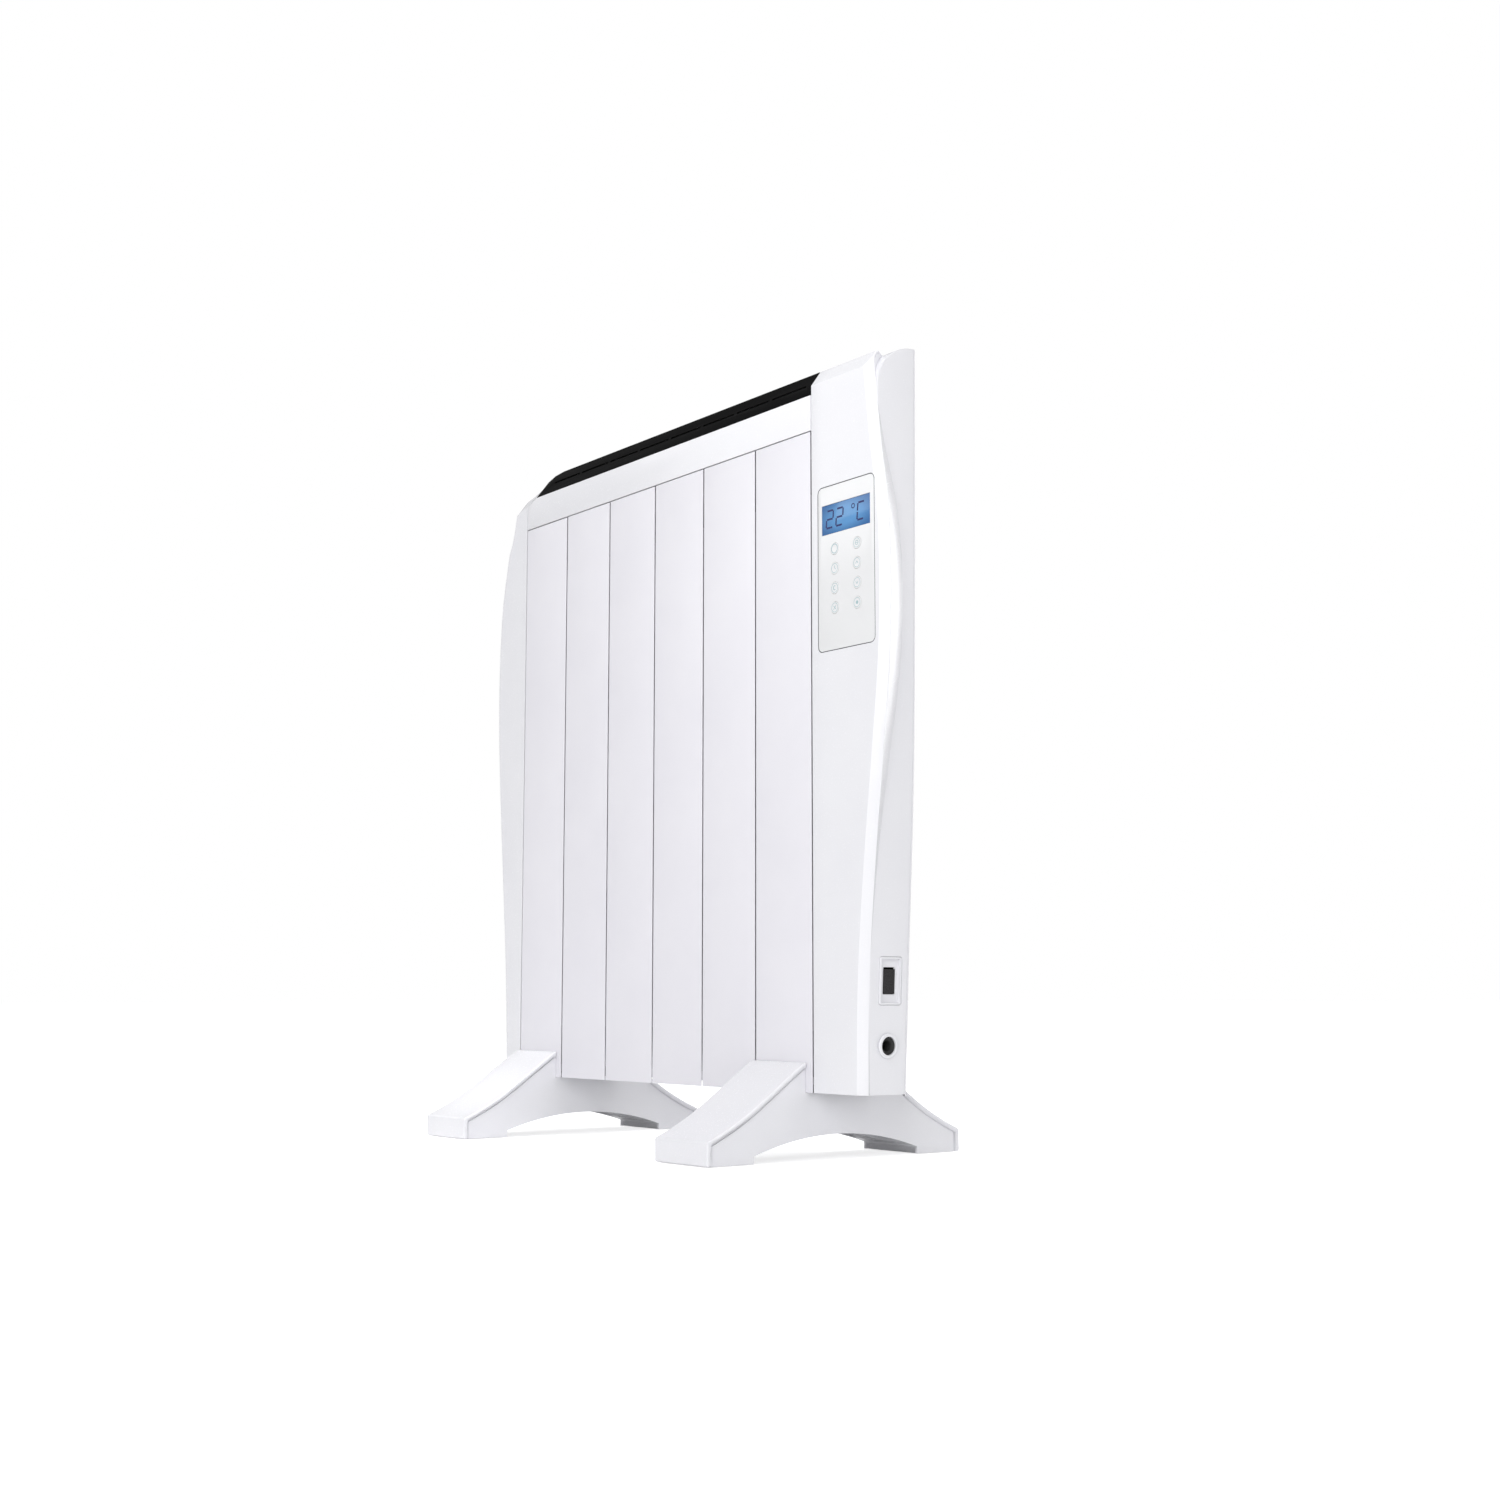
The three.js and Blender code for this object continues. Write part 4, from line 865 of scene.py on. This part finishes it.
def control_housing():
    made = right_front_shell("control_housing_front_moulding")
    outline = fascia_outline(RIM, FASCIA_RADIUS + RIM)
    wide, tall = SWITCH["wide"] / 2 + GAP, SWITCH["tall"] / 2 + GAP
    bezel_hole = prism("bezel_hole", rounded_rectangle(-wide, wide, -tall, tall, 2.6), "x", -12, 12)
    gland_hole = prism("gland_hole", arc((0, 0), GLAND["bore"] + 1.9, 0, 360, 48)[:-1], "x", -12, 12)
    cut(made, prism("window", outline, "y", -4, 4), on_flank(bezel_hole, SWITCH),
        on_flank(gland_hole, GLAND))
    show(settle(made, HOUSING_SHARP), "white_plastic", "control_housing_front")
    show(rear_shell(RIGHT, "control_housing_rear_moulding"), "white_plastic", "control_housing_rear")


KEY_RADIUS = 5.2
KEY_HOLE = 5.45
KEY_PROUD = 0.35
KEY_FLANGE = 6.5


def key_centre(number):
    lo, hi = low(f"key_{number}"), high(f"key_{number}")
    return (lo.x + hi.x) / 2 - ORIGIN_X, (lo.z + hi.z) / 2


def fascia():
    """Glued panel: a polished slab with the display window and eight keyholes."""
    slab = prism("control_fascia_panel", fascia_outline(0, FASCIA_RADIUS), "y", 0, FASCIA_THICKNESS)
    rounded(slab, 0.3, 3, 50)
    x0, x1, _, _, z0, z1 = extent("lcd_window")
    cut(slab, block("opening", x0 - GAP, x1 + GAP, -3, 3, z0 - GAP, z1 + GAP))
    for number in range(1, 9):
        x, z = key_centre(number)
        hole = [(x + a, z + b) for a, b in arc((0, 0), KEY_HOLE, 0, 360, 48)[:-1]]
        cut(slab, prism("keyhole", hole, "y", -3, 3))
    show(slab, "panel_white", "control_fascia")


def fascia_gap_shade():
    """Painted shade: a thin dark band that fills the gap between the panel and the housing, where shade
    falls.
    """
    made = prism("fascia_gap_shade_band", fascia_outline(RIM - 0.03, FASCIA_RADIUS + RIM), "y", 0.12, 0.9)
    cut(made, prism("inside", fascia_outline(-0.02, FASCIA_RADIUS), "y", -1, 2))
    # The dark band is painted shade, not a part of the object.
    show(made, "black_plastic", None, look=GAP_SHADE_PAINT, replaces=False)


def key(number):
    x, z = key_centre(number)
    dish, flange_front = 0.12, FASCIA_THICKNESS + 0.5
    rim = [(KEY_RADIUS * t, -KEY_PROUD + dish * (1 - t * t)) for t in np.linspace(0, 0.9, 10)]
    rim += [(KEY_RADIUS - 0.3 + 0.3 * math.sin(a), -KEY_PROUD + 0.3 - 0.3 * math.cos(a))
            for a in np.linspace(0.3, math.pi / 2, 5)]
    back = [(KEY_RADIUS, flange_front), (KEY_FLANGE - 0.2, flange_front), (KEY_FLANGE, flange_front + 0.2),
            (KEY_FLANGE, FASCIA_THICKNESS + 1.25), (0, FASCIA_THICKNESS + 1.25)]
    made = lathe(f"key_{number}_cap", rim + back, "y", (x, 0, z))
    settle(made, 40)
    show(made, "panel_white", f"key_{number}", body=f"key_{number}")


def stroke_ring(radius, width, start=0, end=360, steps=48):
    """A band that follows an arc, as one closed outline of quads."""
    closed = abs(end - start) >= 360
    angles = np.radians(np.linspace(start, end, steps + 1))
    if closed:
        angles = angles[:-1]
    inner, outer = ([(r * math.cos(a), r * math.sin(a)) for a in angles]
                    for r in (radius - width / 2, radius + width / 2))
    return inner, outer, closed


def bands(name, parts, y_front, y_back, centre):
    """Closed thin solids of ink: each part is (inner line, outer line, closed)."""
    verts, faces = [], []
    for inner, outer, closed in parts:
        count = len(inner)
        base = len(verts)
        for line, y in ((inner, y_front), (outer, y_front), (inner, y_back), (outer, y_back)):
            verts += [(centre[0] + a, y, centre[1] + b) for a, b in line]
        stop = count if closed else count - 1
        for i in range(stop):
            j = (i + 1) % count
            for p, q in ((0, 1), (1, 3), (3, 2), (2, 0)):
                faces.append((base + p * count + i, base + p * count + j, base + q * count + j,
                              base + q * count + i))
        if not closed:
            for i in (0, count - 1):
                faces.append(tuple(base + k * count + i for k in (0, 1, 3, 2)))
    return face_out(mesh_object(name, verts, faces))


def bar_part(a, b, width):
    """A straight stroke from a to b."""
    a, b = np.array(a, float), np.array(b, float)
    side = np.array((-(b - a)[1], (b - a)[0]))
    side = side / np.linalg.norm(side) * width / 2
    return [tuple(a - side), tuple(b - side)], [tuple(a + side), tuple(b + side)], False


def icon_parts(number):
    """Generic symbols: power, up, clock, mode, moon, down, timer and lock."""
    ring = stroke_ring(4.0, 0.45)
    thin = 0.45
    shapes = {
        1: [stroke_ring(4.0, 0.7)],
        2: [ring, bar_part((-1.4, 0), (1.4, 0), thin), stroke_ring(1.9, thin)],
        3: [ring, bar_part((0, 0), (0, 2.4), thin), bar_part((0, 0), (1.6, -0.9), thin)],
        4: [ring, bar_part((-1.5, -0.8), (0, 1.2), thin), bar_part((0, 1.2), (1.5, -0.8), thin)],
        5: [ring, stroke_ring(1.8, 0.6, 60, 300, 24)],
        6: [ring, bar_part((-1.5, 0.8), (0, -1.2), thin), bar_part((0, -1.2), (1.5, 0.8), thin)],
        7: [ring, bar_part((-1.6, -1.6), (1.6, 1.6), thin), bar_part((-1.6, 1.6), (1.6, -1.6), thin)],
        8: [ring, stroke_ring(0.85, 1.3)],
    }
    return shapes[number]


def key_icon(number):
    made = bands(f"key_{number}_symbol", icon_parts(number), -KEY_PROUD + 0.02, -KEY_PROUD + 0.25,
                 key_centre(number))
    show(made, "panel_white", None, body=f"key_{number}", look=ICON_INK, replaces=False)


def display():
    """The display window with its pane bevelled, and seven-segment figures that read 22 degrees."""
    show(refined("lcd_window", "lcd_window_pane", 0.15), "lcd_blue", "lcd_window")
    left, _, front, _, bottom, top = extent("lcd_window")
    middle = (bottom + top) / 2
    size = {"wide": 8.6, "tall": 15, "stroke": 1.7, "slant": 0.09}

    def segment(x, a, b):
        def leaned(point):
            return x + point[0] + size["slant"] * point[1], middle + point[1]
        return bar_part(leaned(a), leaned(b), size["stroke"])

    def glyph(x, names):
        w, h, g = size["wide"] / 2, size["tall"] / 2, 0.55
        lines = {
            "top": ((-w + g, h), (w - g, h)), "middle": ((-w + g, 0), (w - g, 0)),
            "bottom": ((-w + g, -h), (w - g, -h)),
            "upper_left": ((-w, g), (-w, h - g)), "upper_right": ((w, g), (w, h - g)),
            "lower_left": ((-w, -h + g), (-w, -g)), "lower_right": ((w, -h + g), (w, -g)),
        }
        return [segment(x, *lines[n]) for n in names]
    two = ["top", "upper_right", "middle", "lower_left", "bottom"]
    big_c = ["top", "upper_left", "lower_left", "bottom"]
    parts = glyph(left + 10.5, two) + glyph(left + 23.5, two) + glyph(left + 51.5, big_c)
    inner, outer, closed = stroke_ring(1.9, 1.0)
    parts.append((*([(left + 41.5 + a, middle + 6 + b) for a, b in line] for line in (inner, outer)), closed))
    made = bands("display_figures", parts, front - 0.03, front + 0.1, (0, 0))
    show(made, "lcd_blue", None, look=DISPLAY_INK, replaces=False)


# ------------------ switch and cable gland
def switch():
    """White frame with a raised lip, sunk well, black rocker with a scooped face on trunnions."""
    wide, tall, recess = SWITCH["wide"], SWITCH["tall"], SWITCH["recess"]
    frame_body = prism("switch_bezel_frame", rounded_rectangle(-wide / 2, wide / 2, -tall / 2, tall / 2, 2.3),
                       "x", -recess - 1.6, 0)
    rounded(frame_body, 0.5, 3, 50)
    lip = 1.7
    well = rounded_rectangle(-wide / 2 + lip, wide / 2 - lip, -tall / 2 + lip, tall / 2 - lip, 1.4)
    hole = rounded_rectangle(-6.3, 6.3, -11.3, 11.3, 0.8)
    cut(frame_body, prism("well", well, "x", -recess, 5), prism("hole", hole, "x", -20, 5))
    on_flank(frame_body, SWITCH)
    show(frame_body, "white_plastic", "switch_bezel")
    paddle = refined("switch_rocker", "switch_rocker_paddle", 0.45, 3, 32, 22)
    beyond = block("beyond", ROCKER_PROUD - recess, 20, -20, 20, -20, 20)
    cut(paddle, on_flank(beyond, SWITCH))
    show(paddle, "black_plastic", "switch_rocker", body="switch_rocker", look=ROCKER_GLOSS)
    show(refined("switch_body", "switch_body_shell", 0.25), "black_plastic", "switch_body")


def gland():
    outer, bore = GLAND["outer"], GLAND["bore"]
    collar = [(bore, -12), (bore, 1.3)]
    collar += [(bore + 0.5 - 0.5 * math.cos(a), 1.3 + 0.5 * math.sin(a))
               for a in np.linspace(0.3, math.pi / 2, 4)]
    collar += [(outer - 1 + math.sin(a), 0.8 + math.cos(a)) for a in np.linspace(0, math.pi / 2, 6)]
    collar += [(outer, GAP), (bore + 1.6, GAP), (bore + 1.6, -12)]
    made = settle(lathe("cable_gland_collar", collar, "x", (0, 0, 0)), 40)
    show(on_flank(made, GLAND), "white_plastic", "cable_gland")
    hole, rim = GLAND["cord_hole"], bore - GAP
    plug = [(hole, -10), (hole, -1.4), (hole + 0.7, -0.6), (hole + 1.5, -0.2)]
    plug += [(rim - 0.6 + 0.6 * math.sin(a), -0.1 + 0.6 * math.cos(a))
             for a in np.linspace(0, math.pi / 2, 5)]
    plug += [(rim, -10)]
    made = settle(lathe("gland_grommet_ring", plug, "x", (0, 0, 0)), 40)
    show(on_flank(made, GLAND), "black_rubber", "gland_grommet")


# ------------------ feet
FOOT = {"length": 283.4, "tip": 20.7, "wrap": 26, "pad": 50, "step": 7, "arch": 22, "wall": 2.6, "inset": 2.0,
        "skin": 4.0, "proud": 0.7, "groove": 1.4}

POCKET_DEEP, POCKET_TOP = 3, 6.2
FOOT_CELLS = ((-76, -40, 36), (-37.4, -1.3, BODY_BOTTOM - 5), (1.3, 37.4, BODY_BOTTOM - 5), (40, 76, 36))


def foot_upper():
    """Upper line of a foot's front half, from the tip's lower edge up to the body, from mid depth."""
    half, tip = FOOT["length"] / 2, FOOT["tip"]
    face, top = MID_DEPTH + GAP, BODY_BOTTOM + FOOT["wrap"]
    slope = bezier((half, tip), (half - 45, tip + 19), (face + 50, tip + 31), (face + 5, top - 2.5), 36)
    return [(half, FOOT["proud"])] + [tuple(p) for p in slope] + [(face, top)]


def offset(line, distance):
    """Moves a polyline sideways, to the left of its direction, with mitred corners."""
    points = np.array(line, float)
    steps = np.diff(points, axis=0)
    normals = np.stack([-steps[:, 1], steps[:, 0]], axis=1) / np.linalg.norm(steps, axis=1)[:, None]
    before, after = np.vstack([normals[:1], normals]), np.vstack([normals, normals[-1:]])
    mean = before + after
    mean /= np.linalg.norm(mean, axis=1)[:, None]
    return points + mean * (distance / np.sum(mean * after, axis=1))[:, None]


def arch_line():
    half, pad, step = FOOT["length"] / 2, FOOT["pad"], FOOT["step"]
    left, peak, right = map(np.array, ((half - pad, step), (0, 2 * FOOT["arch"] - step), (pad - half, step)))
    ts = np.linspace(0, 1, 41)
    return [tuple((1 - t) ** 2 * left + 2 * t * (1 - t) * peak + t * t * right) for t in ts]


def both_halves(upper, middle):
    """Closes a front half's upper line with its mirror image, across the given middle points."""
    rear = [(-y, z) for y, z in reversed(upper)]
    return [(MID_DEPTH + y, z) for y, z in list(upper) + middle + rear]


def foot_body(inset):
    """Side outline of the whole foot, with its upper line moved in by `inset`."""
    face, half, pad = MID_DEPTH + GAP, FOOT["length"] / 2, FOOT["pad"]
    upper = [(max(y, face), z) for y, z in offset(foot_upper(), inset)]
    upper[0] = (upper[0][0], FOOT["proud"])
    under = [(pad - half, FOOT["proud"])] + list(reversed(arch_line())) + [(half - pad, FOOT["proud"])]
    saddle = [(face, BODY_BOTTOM - GAP), (-face, BODY_BOTTOM - GAP)]
    return both_halves(upper, saddle) + [(MID_DEPTH + y, z) for y, z in under]


def foot(side):
    """Hollow moulding: set-in side walls under a thick rounded top skin, ribs inside, seats for the pads."""
    node = f"{side}_foot"
    x0, x1 = extent(node)[:2]
    skin, inset, groove = FOOT["skin"], FOOT["inset"], FOOT["groove"]
    made = rounded(prism(f"{node}_moulding", foot_body(0), "x", x0, x1), 1.6, 4, 48)
    under_skin = [tuple(p) for p in offset(foot_upper(), skin)]
    deep = -30
    saddle = (MID_DEPTH + GAP - 1, under_skin[-1][1])
    inside = both_halves([(under_skin[0][0], deep)] + under_skin[1:-1] + [saddle], [(0, BODY_BOTTOM + 60)])
    cut(made, prism("inside", inside, "x", x0 - 5, x1 + 5))
    weld_on(made, prism("core", foot_body(1.2), "x", x0 + inset, x1 - inset))
    # A fine undercut right below the skin, along both side walls.
    line_out, line_in = offset(foot_upper(), skin + 0.02), offset(foot_upper(), skin + groove)
    band = [tuple(p) for p in line_out[:-1]] + [tuple(p) for p in reversed(line_in[:-1])]
    for mirror in (1, -1):
        outline = [(MID_DEPTH + mirror * y, z) for y, z in band]
        cut(made, prism("undercut", outline, "x", x1 - inset - groove, x1 + 5),
            prism("undercut", outline, "x", x0 - 5, x0 + inset + groove))
    wall = FOOT["wall"] + inset
    pitch = (x1 - x0 - 2 * inset - FOOT["wall"]) / 2
    for column in (0, 1):
        start = x0 + wall + column * pitch
        end = start + pitch - FOOT["wall"]
        for y0, y1, ceiling in FOOT_CELLS:
            cell = rounded_rectangle(start, end, MID_DEPTH + y0, MID_DEPTH + y1, 2.5, 4)
            cut(made, prism("cell", cell, "z", 4, ceiling))
    inner_end = FOOT["length"] / 2 - FOOT["pad"]
    for y0, y1 in ((inner_end - 1, inner_end + POCKET_DEEP), (-inner_end - POCKET_DEEP, 1 - inner_end)):
        cut(made, block("pocket", x0 + wall, x1 - wall, MID_DEPTH + y0, MID_DEPTH + y1, -1, POCKET_TOP))
    for end in ("front", "rear"):
        left, right, front, rear, _, top = extent(f"{side}_{end}_pad")
        seat = block("seat", left - GAP, right + GAP, front - GAP, rear + GAP, -2, top + GAP)
        left, right, front, rear, _, _ = extent(f"{side}_{end}_screw")
        x, y = (left + right) / 2, (front + rear) / 2
        hole = [(x + a, y + b) for a, b in arc((0, 0), 2.4, 0, 360, 24)[:-1]]
        cut(made, seat, prism("hole", hole, "z", 30, BODY_BOTTOM + 20))
        rubber_pad(f"{side}_{end}_pad")
    weighted(made)
    show(settle(made, 32), "white_plastic", node)


def rubber_pad(node):
    """A pad with shallow grip grooves across its sole."""
    x0, x1, y0, y1, _, top = extent(node)
    made = prism(f"{node}_sole", rounded_rectangle(x0, x1, y0, y1, 3), "z", 0, top)
    count = 6
    for k in range(1, count):
        y = y0 + (y1 - y0) * k / count
        cut(made, block("groove", x0 + 3, x1 - 3, y - 0.6, y + 0.6, -1, 0.5))
    show(rounded(made, 0.2, 2, 40), "black_rubber", node)


# ------------------ the whole object
add_camera()
add_studio()

for index in range(SECTION_COUNT):
    section(index)
left_cover()
control_housing()
for node in ("top_rail_front", "top_rail_rear"):
    rail = refined(node, f"{node}_strip", 0.5)
    x0, x1, y0, y1, bottom, _ = extent(node)
    cut(rail, block("shadow_gap", x0 - 5, x1 + 5, y0 - 5, y1 + 5, bottom - 5, bottom + SHADOW_GAP))
    show(rail, "white_plastic", node)
show(refined("top_grille", "top_grille_louvre", 0.35, 2), "black_plastic", "top_grille")
fascia()
# Painted shade in the gap round the control panel.
fascia_gap_shade()
for number in range(1, 9):
    key(number)
    key_icon(number)
display()
switch()
gland()
for side in ("right", "left"):
    foot(side)

# What stays inside keeps its CAD shape and takes a real finish.
slot_of = {part["node"]: part["material_slot"] for part in frame["record"]["subparts"]}
for name, node_object in frame["nodes"].items():
    node_object.data.materials.clear()
    node_object.data.materials.append(LOOKS[slot_of[name]])

floor = mesh_object("floor", [(-30000, -30000, 0), (30000, -30000, 0), (30000, 30000, 0), (-30000, 30000, 0)],
                    [(0, 1, 2, 3)])
pale = surface("pale_floor", (0.85, 0.85, 0.855), (0.84, 0.84, 0.845), (0.6, 0.7), 60, 0.0001, mottle=1)
glow = pale.node_tree.nodes["Principled BSDF"]
glow.inputs["Emission Color"].default_value = (1, 1, 1, 1)
seen = pale.node_tree.nodes.new("ShaderNodeLightPath")
lift = pale.node_tree.nodes.new("ShaderNodeMapRange")
lift.inputs["To Min"].default_value = FLOOR_GLOW["others"]
lift.inputs["To Max"].default_value = FLOOR_GLOW["camera"]
pale.node_tree.links.new(seen.outputs["Is Camera Ray"], lift.inputs["Value"])
pale.node_tree.links.new(lift.outputs["Result"], glow.inputs["Emission Strength"])
floor.data.materials.append(pale)
